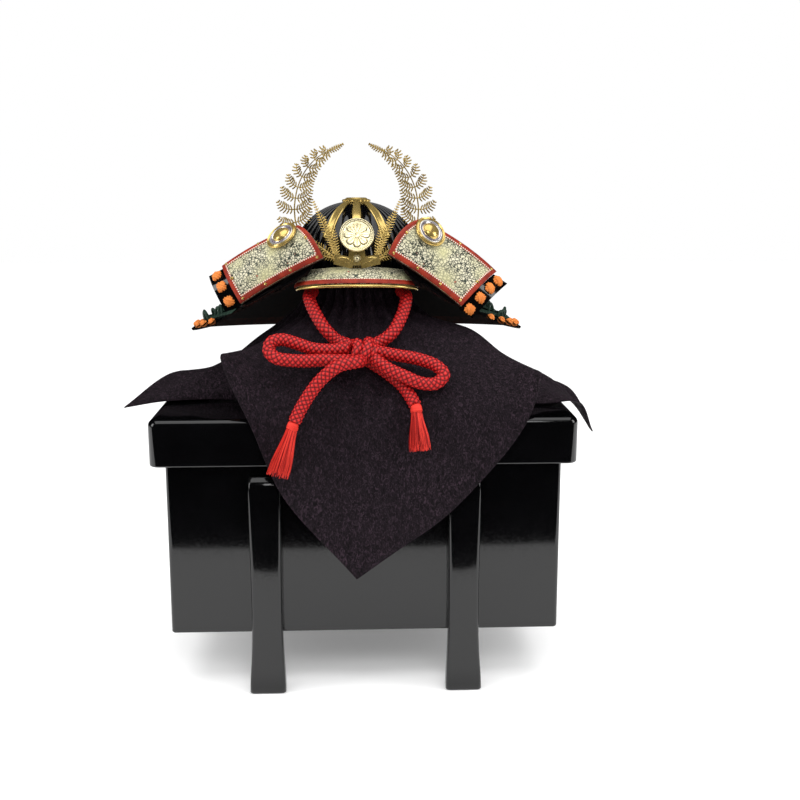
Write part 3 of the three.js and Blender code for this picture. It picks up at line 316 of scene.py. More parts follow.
class Shader:
    """A material with one Principled shader and the nodes that feed it."""

    def __init__(self, name, color, roughness, metallic=0.0, **sockets):
        self.material = bpy.data.materials.new(name)
        self.material.use_nodes = True
        self.tree = self.material.node_tree
        self.shader = self.tree.nodes["Principled BSDF"]
        self.shader.inputs["Base Color"].default_value = (*color, 1)
        self.shader.inputs["Roughness"].default_value = roughness
        self.shader.inputs["Metallic"].default_value = metallic
        for socket, value in sockets.items():
            self.shader.inputs[socket.replace("_", " ")].default_value = value
        self.coordinates = self.tree.nodes.new("ShaderNodeTexCoord")

    def node(self, kind, inputs=None, **settings):
        node = self.tree.nodes.new(kind)
        for key, value in settings.items():
            setattr(node, key, value)
        for key, value in (inputs or {}).items():
            if isinstance(value, bpy.types.NodeSocket):
                self.tree.links.new(value, node.inputs[key])
            else:
                node.inputs[key].default_value = value
        return node

    def link(self, output, socket):
        self.tree.links.new(output, self.shader.inputs[socket])

    def paint(self, color):
        self.link(color, "Base Color")

    def rough(self, factor, low, high, new_low, new_high):
        self.link(self.remap(factor, low, high, new_low, new_high), "Roughness")

    def place(self, scale, space="Object"):
        mapping = self.node("ShaderNodeMapping", {"Vector": self.coordinates.outputs[space]})
        mapping.inputs["Scale"].default_value = scale
        return mapping.outputs["Vector"]

    def noise(self, scale, detail=3.0, roughness=0.55, at=None, distortion=0.0):
        node = self.node("ShaderNodeTexNoise", {
            "Vector": at or self.coordinates.outputs["Object"], "Scale": scale,
            "Detail": detail, "Roughness": roughness, "Distortion": distortion})
        return node.outputs["Fac"]

    def cells(self, scale, at=None, feature="F1", randomness=1.0):
        node = self.node("ShaderNodeTexVoronoi", {
            "Vector": at or self.coordinates.outputs["Object"], "Scale": scale,
            "Randomness": randomness}, feature=feature)
        return node.outputs["Distance"]

    def wave(self, scale, at, distortion=0.0, detail_scale=1.0):
        node = self.node("ShaderNodeTexWave", {
            "Vector": at, "Scale": scale, "Distortion": distortion, "Detail Scale": detail_scale})
        return node.outputs["Fac"]

    def ramp(self, factor, *stops):
        node = self.node("ShaderNodeValToRGB", {"Fac": factor})
        ramp = node.color_ramp
        while len(ramp.elements) < len(stops):
            ramp.elements.new(0.5)
        for element, (position, color) in zip(ramp.elements, stops):
            element.position = position
            element.color = (*color, 1)
        return node.outputs["Color"]

    def remap(self, factor, low, high, new_low, new_high):
        node = self.node("ShaderNodeMapRange", {
            "Value": factor, "From Min": low, "From Max": high, "To Min": new_low, "To Max": new_high})
        return node.outputs["Result"]

    def math(self, operation, a, b):
        node = self.node("ShaderNodeMath", {0: a, 1: b}, operation=operation)
        return node.outputs[0]

    def blend(self, factor, a, b):
        node = self.tree.nodes.new("ShaderNodeMix")
        node.data_type = "RGBA"
        for key, value in ((0, factor), (6, a), (7, b)):
            if isinstance(value, bpy.types.NodeSocket):
                self.tree.links.new(value, node.inputs[key])
            else:
                node.inputs[key].default_value = value if key == 0 else (*value, 1)
        return node.outputs[2]

    def bump(self, height, strength, distance, before=None):
        node = self.node("ShaderNodeBump", {
            "Height": height, "Strength": strength, "Distance": distance})
        if before:
            self.tree.links.new(before, node.inputs["Normal"])
        self.tree.links.new(node.outputs["Normal"], self.shader.inputs["Normal"])
        return node.outputs["Normal"]


def lacquer_material(name, color, roughness):
    shader = Shader(name, color, roughness)
    dust = shader.noise(900, 2)
    shader.paint(shader.ramp(shader.noise(40, 3), (0.3, color), (0.7, tuple(c * 1.6 for c in color))))
    shader.rough(dust, 0.45, 0.75, roughness, roughness + 0.1)
    shader.bump(shader.noise(14, 1), 0.04, 0.002)
    return shader.material


def metal_material(name, light, dark, roughness):
    shader = Shader(name, light, roughness, metal_share)
    tarnish = shader.noise(70, 4, 0.6)
    shader.paint(shader.ramp(tarnish, (0.36, dark), (0.6, light)))
    shader.rough(shader.noise(300, 2), 0.3, 0.7, roughness - 0.03, roughness + 0.05)
    shader.bump(shader.noise(900, 2), metal_grain, 0.0001)
    return shader.material


def printed_leather_material():
    shader = Shader("printed_leather", (0.5, 0.48, 0.34), 0.55)
    sheet = shader.coordinates.outputs["UV"]
    small = shader.cells(760, sheet)
    edges = shader.cells(400, sheet, feature="DISTANCE_TO_EDGE")
    curls = shader.wave(210, sheet, distortion=14.0, detail_scale=2.2)
    middle = shader.noise(30, 2, 0.5, sheet)
    ink = shader.math("MULTIPLY",
                      shader.remap(small, 0.36, 0.5, 1, 0),
                      shader.remap(curls, 0.2, 0.5, 0, 1))
    leaf = shader.remap(edges, 0.05, 0.12, 1, 0)
    ink = shader.math("MAXIMUM", ink, leaf)
    thin = shader.remap(middle, 0.46, 0.66, 1.0, 0.25)
    ink = shader.math("MULTIPLY", ink, thin)
    ground = shader.ramp(middle, (0.4, (0.62, 0.58, 0.42)), (0.66, (0.55, 0.52, 0.26)))
    spots = shader.cells(95, sheet)
    ground = shader.blend(shader.remap(spots, 0.07, 0.1, 1, 0), ground, (0.42, 0.08, 0.04))
    dye = shader.ramp(shader.noise(500, 2, 0.5, sheet), (0.4, (0.004, 0.008, 0.005)),
                      (0.62, (0.018, 0.034, 0.018)))
    shader.paint(shader.blend(ink, ground, dye))
    shader.rough(shader.noise(700, 3), 0.3, 0.7, 0.42, 0.62)
    low = shader.bump(shader.noise(1600, 3), 0.3, 0.0003)
    shader.bump(ink, 0.12, 0.0002, low)
    return shader.material


def leather_material(name, dark, light, crest):
    shader = Shader(name, light, 0.5, Specular_IOR_Level=0.2)
    grain = shader.cells(900)
    tone = shader.ramp(shader.noise(120, 4), (0.3, dark), (0.7, light))
    # The grain's cells are painted lighter in the crest colour, a painted highlight
    shader.paint(shader.blend(shader.remap(grain, 0.1, 0.5, 0.3, 0), tone, crest))
    shader.rough(shader.noise(300, 3), 0.3, 0.7, 0.38, 0.6)
    low = shader.bump(shader.noise(260, 2), 0.35, 0.0008)
    shader.bump(grain, 0.3, 0.0003, low)
    return shader.material


def silk_material(name, light, dark):
    shader = Shader(name, light, silk_roughness, Specular_IOR_Level=0.2)
    fibre = shader.noise(1.0, 4, 0.6, shader.place((900, 130, 1), space="UV"))
    tone = shader.ramp(fibre, (0.34, dark), (0.62, light))
    shader.paint(shader.blend(shader.remap(shader.noise(110, 3), 0.35, 0.7, 0.0, 0.4), tone, dark))
    shader.rough(fibre, 0.3, 0.7, silk_roughness - 0.08, silk_roughness + 0.14)
    shader.bump(fibre, 0.5, 0.0004)
    return shader.material


def braid_material():
    """Silk of the cord, with painted shade in the gaps between its strands and a painted highlight along
    their middles.
    """
    shader = Shader("red_braid", (0.5, 0.012, 0.012), 0.4, Specular_IOR_Level=0.25)
    place = shader.node("ShaderNodeSeparateXYZ", {"Vector": shader.coordinates.outputs["UV"]})
    around = shader.math("MULTIPLY", place.outputs["Y"], braid_strands)
    along = shader.math("DIVIDE", place.outputs["X"], braid_cell * MM)
    first = shader.math("PINGPONG", shader.math("ADD", around, along), 0.5)
    second = shader.math("PINGPONG", shader.math("SUBTRACT", around, along), 0.5)
    gap = shader.math("MINIMUM", first, second)
    # Painted shade and highlight: near black in the gaps between strands, lighter toward each strand's
    # middle
    tone = shader.ramp(gap, (0.0, (0.035, 0.0005, 0.001)), (0.12, (0.26, 0.003, 0.005)),
                       (0.4, (0.68, 0.024, 0.02)))
    threads = shader.noise(1.0, 3, 0.6, shader.place((2600, 60, 1), space="UV"))
    shader.paint(shader.blend(shader.remap(threads, 0.4, 0.7, 0.0, 0.35), tone, (0.2, 0.003, 0.004)))
    shader.rough(threads, 0.3, 0.7, 0.34, 0.52)
    shader.bump(threads, 0.3, 0.0003)
    return shader.material


def cloth_material():
    shader = Shader("crepe_cloth", (0.01, 0.005, 0.009), 0.82, Specular_IOR_Level=0.16, Sheen_Weight=0.025,
                    Sheen_Roughness=0.4)
    shader.shader.inputs["Sheen Tint"].default_value = (0.65, 0.5, 0.62, 1)
    crinkle_and_shade = shader.noise(520, 4, 0.6, shader.place((1, 1, 0.55)), 1.4)
    threads = shader.cells(760, shader.place((1.0, 1.0, 0.7)), randomness=0.8)
    broad = shader.noise(9, 3)
    # Painted shade: the colour follows the crinkle's bump, dark in its hollows and lighter on its ridges
    tone = shader.ramp(crinkle_and_shade, (0.38, (0.0025, 0.0012, 0.0022)), (0.54, (0.011, 0.0055, 0.0095)),
                       (0.7, (0.045, 0.025, 0.038)))
    shader.paint(shader.blend(shader.remap(broad, 0.35, 0.7, 0.0, 0.35), tone, (0.006, 0.003, 0.0055)))
    shader.rough(crinkle_and_shade, 0.3, 0.7, 0.9, 0.68)
    low = shader.bump(crinkle_and_shade, 0.9, 0.0014)
    low = shader.bump(threads, 0.35, 0.0006, low)
    shader.bump(shader.noise(60, 2), 0.25, 0.004, low)
    return shader.material


def lining_material(name, light, dark):
    """Matte lining on the inside of the lames."""
    shader = Shader(name, light, 0.85, Specular_IOR_Level=0.05)
    weave = shader.noise(260, 3)
    shader.paint(shader.ramp(weave, (0.35, dark), (0.65, light)))
    shader.rough(weave, 0.3, 0.7, 0.8, 0.92)
    shader.bump(weave, 0.3, 0.0004)
    return shader.material


def wood_material():
    shader = Shader("plain_wood", (0.42, 0.27, 0.14), 0.6)
    grain = shader.wave(26, shader.place((1, 1, 0.12)), distortion=5.0, detail_scale=1.6)
    shader.paint(shader.ramp(grain, (0.2, (0.36, 0.22, 0.11)), (0.8, (0.52, 0.35, 0.19))))
    shader.rough(shader.noise(300, 3), 0.3, 0.7, 0.5, 0.7)
    shader.bump(grain, 0.15, 0.0006)
    return shader.material


def piping_material():
    shader = Shader("piping", (0.75, 0.68, 0.55), 0.55)
    twist = shader.wave(150, shader.place((1, 0.0021, 1), space="UV"))
    shader.paint(shader.ramp(twist, (0.42, (0.42, 0.06, 0.04)), (0.58, (0.8, 0.74, 0.6))))
    shader.rough(twist, 0, 1, 0.6, 0.5)
    shader.bump(twist, 0.5, 0.0006)
    return shader.material


lacquer = lacquer_material("black_lacquer", (0.0012, 0.0012, 0.0014), 0.06)
rib_lacquer = lacquer_material("bowl_lacquer", (0.0015, 0.0015, 0.002), 0.08)
lame_lining = lining_material("lame_lining", (0.009, 0.005, 0.004), (0.003, 0.002, 0.002))
# The hem inside the lowest lame: its orange-brown given as dark brown-red, a painted shade
shaded_lame_hem = lining_material("shaded_lame_hem", (0.03, 0.006, 0.004), (0.009, 0.003, 0.002))
gilt = metal_material("gilt", (0.76, 0.55, 0.18), (0.66, 0.46, 0.14), 0.2)
leaf_gilt = metal_material("leaf_gilt", (0.5, 0.36, 0.11), (0.34, 0.23, 0.065), 0.28)
spray_gilt = metal_material("spray_gilt", (0.72, 0.52, 0.17), (0.5, 0.35, 0.1), 0.26)
pale_gilt = metal_material("pale_gilt", (0.82, 0.74, 0.48), (0.7, 0.6, 0.34), 0.22)
silver = metal_material("silver", (0.88, 0.87, 0.84), (0.5, 0.49, 0.46), 0.22)
purple_thread = silk_material("purple_thread", (0.16, 0.05, 0.16), (0.05, 0.015, 0.06))
printed_leather = printed_leather_material()
# The last colour of each leather is the painted highlight on its grain's cells
red_leather = leather_material("red_leather", (0.15, 0.01, 0.006), (0.32, 0.03, 0.011),
                               (0.38, 0.05, 0.022))
brown_leather = leather_material("brown_leather", (0.03, 0.012, 0.008), (0.06, 0.025, 0.016),
                                 (0.08, 0.035, 0.02))
piping = piping_material()
red_braid = braid_material()
red_silk = silk_material("red_silk", (0.8, 0.05, 0.03), (0.5, 0.016, 0.012))
# A darker copy of the red silk: painted shade for some of the tassel threads
shaded_red_silk = silk_material("shaded_red_silk", (0.34, 0.005, 0.005), (0.14, 0.001, 0.002))
orange_silk = silk_material("orange_silk", (0.82, 0.3, 0.06), (0.5, 0.1, 0.015))
green_silk = silk_material("green_silk", (0.02, 0.055, 0.035), (0.004, 0.012, 0.008))
dark_cloth = cloth_material()
wood = wood_material()

# Cord, knot and tassels
cord_diameter = 11

chin_cord_route = [
    (-8, -96, 296.5), (-14, -92.5, 298.5), (-22, -89.5, 301), (-31.7, -88, 310), (-40.3, -78, 322),
    (-46.4, -62, 333.6), (-46.5, -50, 336), (-44, -39, 338.2), (-50.5, -20, 343.2),
    (-55.4, -2, 346), (-53, 20, 346), (-41.5, 41, 346), (-24.5, 54.6, 346), (-5, 58.7, 346),
    (14.5, 54.6, 346), (31.5, 41, 346), (43, 20, 346), (45.4, -2, 346), (40.5, -20, 343.2),
    (34, -39, 338.2), (37, -50, 336), (37.4, -62, 333.4), (32.3, -78, 319.2),
    (23.2, -90, 306.5), (12, -93, 299.5), (2, -95, 297),
]
left_loop_route = [
    (-11, -106, 297.3), (-28.2, -106.5, 295.6), (-43.1, -107, 297), (-56.3, -107, 301.5),
    (-67.8, -107, 304.6), (-76.3, -109, 302.7), (-78.3, -112, 296.5), (-73.2, -116, 291.2),
    (-62.5, -118, 289.2), (-48.5, -118.5, 288.5), (-34.6, -118, 289), (-22, -116, 288.2),
    (-11, -109.5, 287.4),
]
right_loop_route = [
    (3, -103, 295.5), (25.1, -107, 291.4), (45.9, -109.5, 287.8), (59.9, -112.5, 282.7),
    (66, -117, 276), (59.4, -121, 269.6), (46.8, -123.5, 270.2), (33.6, -123.5, 275.8),
    (19.7, -119.5, 281.8), (7, -109.5, 289.8),
]
left_tail_route = [
    (-2, -113, 287.5), (-6.5, -125, 288.5), (-21, -131.5, 286.2), (-34.4, -132, 276),
    (-44.3, -132.5, 263.7), (-52.1, -134, 251.2), (-57.9, -137, 239.7),
]
right_tail_route = [
    (4, -99, 285.5), (16.7, -105, 277.8), (24, -110, 273), (31.2, -115, 267.3),
    (38.3, -124, 258.7), (42.1, -131, 252.1),
]
# The right end starts a little deeper in the knot than its solid, which is cut back there
right_tail_start = (0, -97.5, 291)
left_tassel_end = (-71, -141, 198.9)
right_tassel_end = (45.1, -139, 218.4)
braid_step = 0.55
braid_cap_length = 2.2
wrap_diameter = 9.6
wrap_shift = 1.7
tassel_neck_radius = 4.5
tassel_spread = 8.6
tassel_flatness = 0.8
thread_radius = 0.34
shaded_thread_share = 0.36
# Share of the tassel's width that each layer of threads takes, and how many threads it has
tassel_layers = ((1.0, 150), (0.78, 110), (0.5, 70))


def braid_height(around, along):
    """Height of a round braid's surface, from 0 in its gaps to 1 on its strands."""
    a = braid_strands * around + along / braid_cell
    b = braid_strands * around - along / braid_cell
    across_a, across_b = b - round_down(b) - 0.5, a - round_down(a) - 0.5
    over = 1 if (round_down(a) + round_down(b)) % 2 == 0 else -1
    strand_a = 0.5 * (1 - 4 * across_a**2) + 0.42 * over * cos(pi * across_b)
    strand_b = 0.5 * (1 - 4 * across_b**2) - 0.42 * over * cos(pi * across_a)
    return max(strand_a, strand_b)


def braided_tube(route, diameter, sides=64, start=0.0):
    """A cord with its strands modelled; start shifts the braid along it."""
    points, total = smooth_route(route, braid_step)
    rings = []
    uvs = []
    for index, (point, (side, up)) in enumerate(zip(points, route_frames(points))):
        along = total * index / (len(points) - 1)
        end = min(along, total - along)
        cap = 0.35 + 0.65 * smooth(end / braid_cap_length) if end < braid_cap_length else 1
        ring = []
        for corner in range(sides):
            around = corner / sides
            height = braid_height(around, along + start)
            size = (diameter / 2 - braid_depth * (0.92 - height)) * cap
            turn = around * 2 * pi
            ring.append(point + (side * cos(turn) + up * sin(turn)) * size)
            uvs.append(((along + start) * MM, around))
        rings.append(ring)
    mesh_points, faces = loft(rings)
    path = [tuple(axis * MM for axis in point) for point in points[::8]] + [tuple(points[-1] * MM)]
    return mesh_points, faces, uvs, path, total


def braided_cord(name, route):
    points, faces, uvs, path, total = braided_tube(route, cord_diameter)
    piece = new_piece(name, points, faces, [red_braid], uvs, sharp=60)
    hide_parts(name.replace("braid_", ""))


def knot():
    """The bow's knot: three short wraps of cord, side by side."""
    build = Build()
    wraps = [
        [(3.5, -96, 298.8), (4.0, -103, 301.6), (3.6, -109, 299.6), (1.6, -112.6, 294.5),
         (-0.6, -112.4, 290.2), (-2.4, -108.5, 287.6), (-3, -101, 287.4)],
        [(-8.2, -98, 296.6), (-5.8, -104, 300.6), (-4.6, -108.6, 299.2), (-5.6, -111.4, 294.2),
         (-7.4, -109.6, 289.8), (-7.6, -103, 288.2)],
        [(6.6, -97, 296.8), (8.2, -103, 297.2), (7.4, -108.5, 294), (5.4, -108.6, 289.8), (4.6, -102, 288)],
    ]
    for start, route in enumerate(wraps):
        points, faces, uvs, _, _ = braided_tube(route, wrap_diameter, 48, start * wrap_shift)
        build.add(points, faces, uvs)
    piece = build.piece("braid_bow_knot", [red_braid], sharp=60)
    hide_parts("bow_knot")
    return piece


def tassel(side, tail, end, seed):
    """A bound neck and three layers of threads, which hang from the tail's end."""
    rng = random.Random(seed)
    build = Build()
    neck = Vector(tail[-1])
    along = (neck - Vector(tail[-2])).normalized()
    fall = (Vector(end) - neck).normalized()
    length = (Vector(end) - neck).length
    across = fall.orthogonal().normalized()
    if abs(across.z) > 0.5:
        across = fall.cross(across).normalized()
    deep = fall.cross(across)
    sheath = [(0.2, -1.6), (4.0, -1.0), (4.6, 0.4), (4.6, 2.0), (4.4, 3.4), (4.5, 4.4), (4.0, 5.2),
              (0.2, 5.2)]
    points, faces = turned(sheath, neck, along.lerp(fall, 0.5), 32)
    build.add(points, faces, [(point[2] * MM, 0.0) for point in points])
    for turn in range(3):
        height = 2.4 + turn * 0.9
        ring = [neck + fall * height + (across * cos(a) + deep * sin(a)) * 4.45
                for a in (step / 24 * 2 * pi for step in range(25))]
        points, faces, uvs = tube(ring, 0.5, 6, 1.2)
        build.add(points, faces, uvs)
    for layer, count in tassel_layers:
        for thread in range(count):
            angle = (thread + rng.random() * 0.8) / count * 2 * pi
            top = tassel_neck_radius * layer
            spread = layer * (tassel_spread + rng.uniform(-1.4, 1.6))
            reach = length + rng.uniform(-4.2, 2.2) * (1.3 - layer * 0.3)
            sway = rng.uniform(-0.5, 0.5)
            route = []
            for share in (0, 0.12, 0.3, 0.55, 0.8, 1):
                radius = mix(top, spread, smooth(share) ** 0.85)
                bend = angle + sway * share * 0.35
                spot = neck + fall * mix(3.4, reach, share)
                spot += across * cos(bend) * radius + deep * sin(bend) * radius * tassel_flatness
                route.append(spot)
            points, faces, uvs = tube(route, thread_radius, 3, 7.0, lambda share: 1 - 0.35 * share)
            # A share of the threads take the darker silk, as painted shade between the threads
            build.add(points, faces, uvs, slot=1 if rng.random() < shaded_thread_share else 0)
    piece = build.piece(f"silk_tassel_{side}", [red_silk, shaded_red_silk], sharp=80)
    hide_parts(f"tassel_{side}")
    return piece


knot_piece = knot()
tassel_left = tassel("left", left_tail_route, left_tassel_end, 11)
tassel_right = tassel("right", right_tail_route, right_tassel_end, 12)
braided_cord("braid_chin_cord", chin_cord_route)
braided_cord("braid_bow_loop_left", left_loop_route)
braided_cord("braid_bow_loop_right", right_loop_route)
braided_cord("braid_cord_end_left", left_tail_route)
braided_cord("braid_cord_end_right", [right_tail_start, *right_tail_route])

# Storage chest
lid_width = 360
lid_depth = 245
lid_skirt = 40
lid_board = 9
lid_edge_radius = 6
lid_corner_radius = 4
lid_overhang = 12
lid_play = 0.6
chest_height = 240
body_lift = 49
body_wall = 9
leg_spread = 84.5
leg_width = 26
leg_depth = 12
leg_height = 190
foot_flare = 5
foot_reach = 5.5
corner_steps = 8
leg_edge_radius = 3.2
body_edge_radius = 2.2
body_rim_edge = 0.8
skirt_edge_radius = 1.6
sole_edge = 0.6
clearance = 0.3
lid_top = chest_height
body_width = lid_width - 2 * lid_overhang
body_depth = lid_depth - 2 * lid_overhang
body_top = lid_top - lid_board - clearance


def rounded_ring(width, depth, radius, z, inset=0.0):
    """A level rectangle with rounded corners."""
    corner = max(radius - inset, 0.2)
    points = []
    for quarter in range(4):
        sign_x = 1 if quarter in (0, 3) else -1
        sign_y = 1 if quarter < 2 else -1
        for share in shares(corner_steps):
            angle = quarter * pi / 2 + share * pi / 2
            points.append((sign_x * (width / 2 - inset - corner) + corner * cos(angle),
                           sign_y * (depth / 2 - inset - corner) + corner * sin(angle), z))
    return points


def rounded_edge(width, depth, corner, edge, z, upward, steps):
    """Rings that round a box's edge: upward is 1 for a top edge and -1 for a bottom one."""
    rings = []
    for share in shares(steps):
        angle = share * pi / 2
        rings.append(rounded_ring(width, depth, corner, z - upward * edge * (1 - sin(angle)),
                                  edge * (1 - cos(angle))))
    return rings if upward > 0 else rings[::-1]


def chest():
    """An open box, and a lift-off lid with a skirt over it."""
    size = (body_width, body_depth, lid_corner_radius)
    rings = [
        rounded_ring(*size, body_lift + body_wall, body_wall),
        rounded_ring(*size, body_top, body_wall),
        rounded_ring(*size, body_top, body_rim_edge),
        rounded_ring(*size, body_top - body_rim_edge),
        *reversed(rounded_edge(*size, body_edge_radius, body_lift, -1, 8)),
    ]
    piece = new_piece("lacquer_chest_body", *loft(rings), [lacquer])
    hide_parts("chest_body")
    inner = lid_overhang - lid_play
    bottom = lid_top - lid_skirt
    size = (lid_width, lid_depth, lid_edge_radius + lid_corner_radius)
    rings = [
        rounded_ring(*size, lid_top - lid_board, inner),
        rounded_ring(*size, bottom + 1, inner),
        rounded_ring(*size, bottom, inner - 1),
        *rounded_edge(*size, skirt_edge_radius, bottom, -1, 5),
        *rounded_edge(*size, lid_edge_radius, lid_top, 1, 12),
    ]
    piece = new_piece("lacquer_chest_lid", *loft(rings), [lacquer])
    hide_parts("chest_lid")


# The leg's shape: heights as shares, then its flare, reach and thickness there as shares
leg_heights = [0, 0.06, 0.18, 0.34, 0.62, 0.9, 0.965, 1]
leg_flares = [1, 0.85, 0.3, 0, 0.12, 0.35, 0.3, 0]
leg_reaches = [1, 0.95, 0.45, 0.06, 0, 0, 0, 0]
leg_slims = [1, 1, 1, 1, 1, 1, 0.86, 0.45]


def chest_leg(name, side_x, side_y):
    """A leg with a rounded outer face, which flares and reaches outward at its foot."""
    face = body_depth / 2 + clearance
    edge = leg_edge_radius
    rings = []
    for height in sorted(set(shares(28)) | {0.004, 0.975, 0.985, 0.993}):
        half = (leg_width + foot_flare * eased(leg_heights, leg_flares, height)) / 2
        inner = face + foot_reach * eased(leg_heights, leg_reaches, height)
        outer = inner + leg_depth * eased(leg_heights, leg_slims, height)
        if height == 0:
            half -= sole_edge
            outer -= sole_edge
        outline = [(-half, inner), (half, inner)]
        for share in shares(5):
            angle = share * pi / 2
            outline.append((half - edge * (1 - cos(angle)), outer - edge * (1 - sin(angle))))
        for share in shares(5):
            angle = (1 - share) * pi / 2
            outline.append((-half + edge * (1 - cos(angle)), outer - edge * (1 - sin(angle))))
        rings.append([(side_x * leg_spread + x, side_y * y, height * leg_height) for x, y in outline])
    piece = new_piece(f"lacquer_{name}", *loft(rings), [lacquer], sharp=50)
    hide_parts(name)


chest()
for depth_name, side_y in (("front", -1), ("back", 1)):
    for width_name, side_x in (("left", -1), ("right", 1)):
        chest_leg(f"chest_leg_{depth_name}_{width_name}", side_x, side_y)

# Helmet sizes
helmet_shift = -5
rim_z = lid_top + 114
bowl_half_width = 60
bowl_half_depth = 68
bowl_height = 61.5
bowl_wall = 2
bowl_fullness = 2.1
rib_count = 48
rib_height = 0.9
rib_steps = 8
hoop_height = 9
hoop_wall = 2
hoop_edge = 0.6
band_width = 8.5
band_thickness = 0.8
band_turn = 27.5
center_band_foot = 0.3
side_band_foot = 0.52
crown_radius = 13
crown_hole_radius = 6
crown_height = 2.6
crown_z = rim_z + bowl_height
visor_half_width = 51.5
visor_reach = 18
visor_thickness = 2
visor_drop = 12.5
visor_top_turn = 62
visor_end_share = 0.735
visor_arch = 2.2
visor_rim_radius = 1.3
visor_border_width = 4
visor_border_thickness = 0.8
guard_half_width = 151
guard_front_depth = 95
guard_back_depth = 132
guard_drop = 50
guard_front_rise = 30
guard_back_fall = 12
guard_top_drop = 4
guard_lames = 5
lame_thickness = 1.5
lame_overlap = 0.2
wing_thickness = 2
wing_border_width = 3.6
wing_border_thickness = 1
wing_border_lift = 0.45
border_steps = 240
border_seeds = {"left": 21, "right": 22}
piping_radius = 0.6
boss_radius = 14.4
boss_dome_radius = 7.4
boss_height = 5
boss_sides = 56
disc_radius = 14.6
disc_thickness = 2.4
disc_lean = 22
crest_thickness = 1.4
crest_base_width = 40
crest_base_height = 12
frond_height = 104
frond_spread = 53.5
frond_thickness = 1.2
frond_stalk = 1.7
frond_recess = 24
spray_lean = 0.2


def bowl_point(angle, climb, grow=0.0):
    power = 2 / bowl_fullness
    across = cos(climb * pi / 2) ** power if climb < 1 else 0
    high = sin(climb * pi / 2) ** power
    return Vector((helmet_shift + (bowl_half_width + grow) * across * cos(angle),
                   (bowl_half_depth + grow) * across * sin(angle),
                   rim_z + (bowl_height + grow) * high))


def climb_at(z):
    high = clamp((z - rim_z) / bowl_height)
    return asin(high ** (bowl_fullness / 2)) / (pi / 2)


def bowl():
    """Overlapping plates round the bowl, each with a standing ridge along its edge."""
    build = Build()
    count = rib_count * rib_steps
    climbs = [0.0, *[0.02 + 0.95 * share ** 0.9 for share in shares(22)]]
    outside = []
    for climb in climbs:
        fade = max(cos(climb * pi / 2), 0.0) ** 0.5
        ring = []
        for step in range(count):
            phase = (step / rib_steps) % 1
            distance = min(phase, 1 - phase)
            ridge = 1 - smooth(distance / 0.2)
            plate = -0.35 * sin(phase * pi) ** 2
            ring.append(bowl_point(step / count * 2 * pi, climb, rib_height * fade * (ridge + plate)))
        outside.append(ring)
    inside = [[bowl_point(turn, climb, -bowl_wall) for turn in angles(count)] for climb in climbs]
    points, faces = loft(outside[::-1] + inside, caps=False)
    top = len(points)
    points += [bowl_point(0, 1, 0), bowl_point(0, 1, -bowl_wall)]
    last = (2 * len(climbs) - 1) * count
    for step in range(count):
        beside = (step + 1) % count
        faces.append([top, beside, step])
        faces.append([top + 1, last + step, last + beside])
    build.add(points, faces)
    piece = build.piece("ribbed_bowl", [rib_lacquer], sharp=50)
    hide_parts("bowl")


def oval_ring(half_width, half_depth, z, count):
    return [(helmet_shift + half_width * cos(turn), half_depth * sin(turn), z)
            for turn in angles(count)]


def bowl_hoop():
    top = rim_z - clearance
    rings = []
    bottom = top - hoop_height
    for inset, z in ((0.0, bottom + hoop_edge), (0.0, top - hoop_edge), (hoop_edge, top),
                     (hoop_wall, top), (hoop_wall, bottom), (hoop_edge, bottom)):
        rings.append(oval_ring(bowl_half_width - inset, bowl_half_depth - inset, z, 120))
    piece = new_piece("lacquer_hoop", *loft(rings, closed=True), [lacquer])
    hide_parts("bowl_hoop")


def bowl_strap(name, turn, bottom_z):
    """A gilt strap with a raised edge; the two side straps end in small lobes."""
    base = rib_height + clearance
    top, bottom = climb_at(crown_z - 1.6), climb_at(bottom_z)
    front, back = [], []
    rows, columns = 40, 14
    for share in shares(rows):
        front_row, back_row = [], []
        for step in shares(columns):
            side = step * 2 - 1
            lobe = 0.0
            if turn:
                lobe = 0.016 * abs(sin(side * pi * 1.5)) * (1 - smooth(share / 0.12))
            climb = mix(bottom, top, share) - lobe
            across = cos(climb * pi / 2) ** (2 / bowl_fullness)
            radius = max(across * bowl_half_depth, band_width)
            flare = 1 + (0.22 * (1 - smooth(share / 0.16)) if turn else 0)
            taper = mix(1, 0.62, smooth((share - 0.6) / 0.4)) * flare
            half = asin(min(0.95, taper * band_width / 2 / radius))
            edge = smooth((abs(side) - 0.62) / 0.2) - smooth((abs(side) - 0.92) / 0.08)
            angle = -pi / 2 + radians(turn) + side * half
            front_row.append(bowl_point(angle, climb, base + band_thickness + 0.35 * edge))
            back_row.append(bowl_point(angle, climb, base))
        front.append(front_row)
        back.append(back_row)
    piece = new_piece(f"gilt_{name}", *wall(front, back), [gilt], sharp=50)
    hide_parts(name)


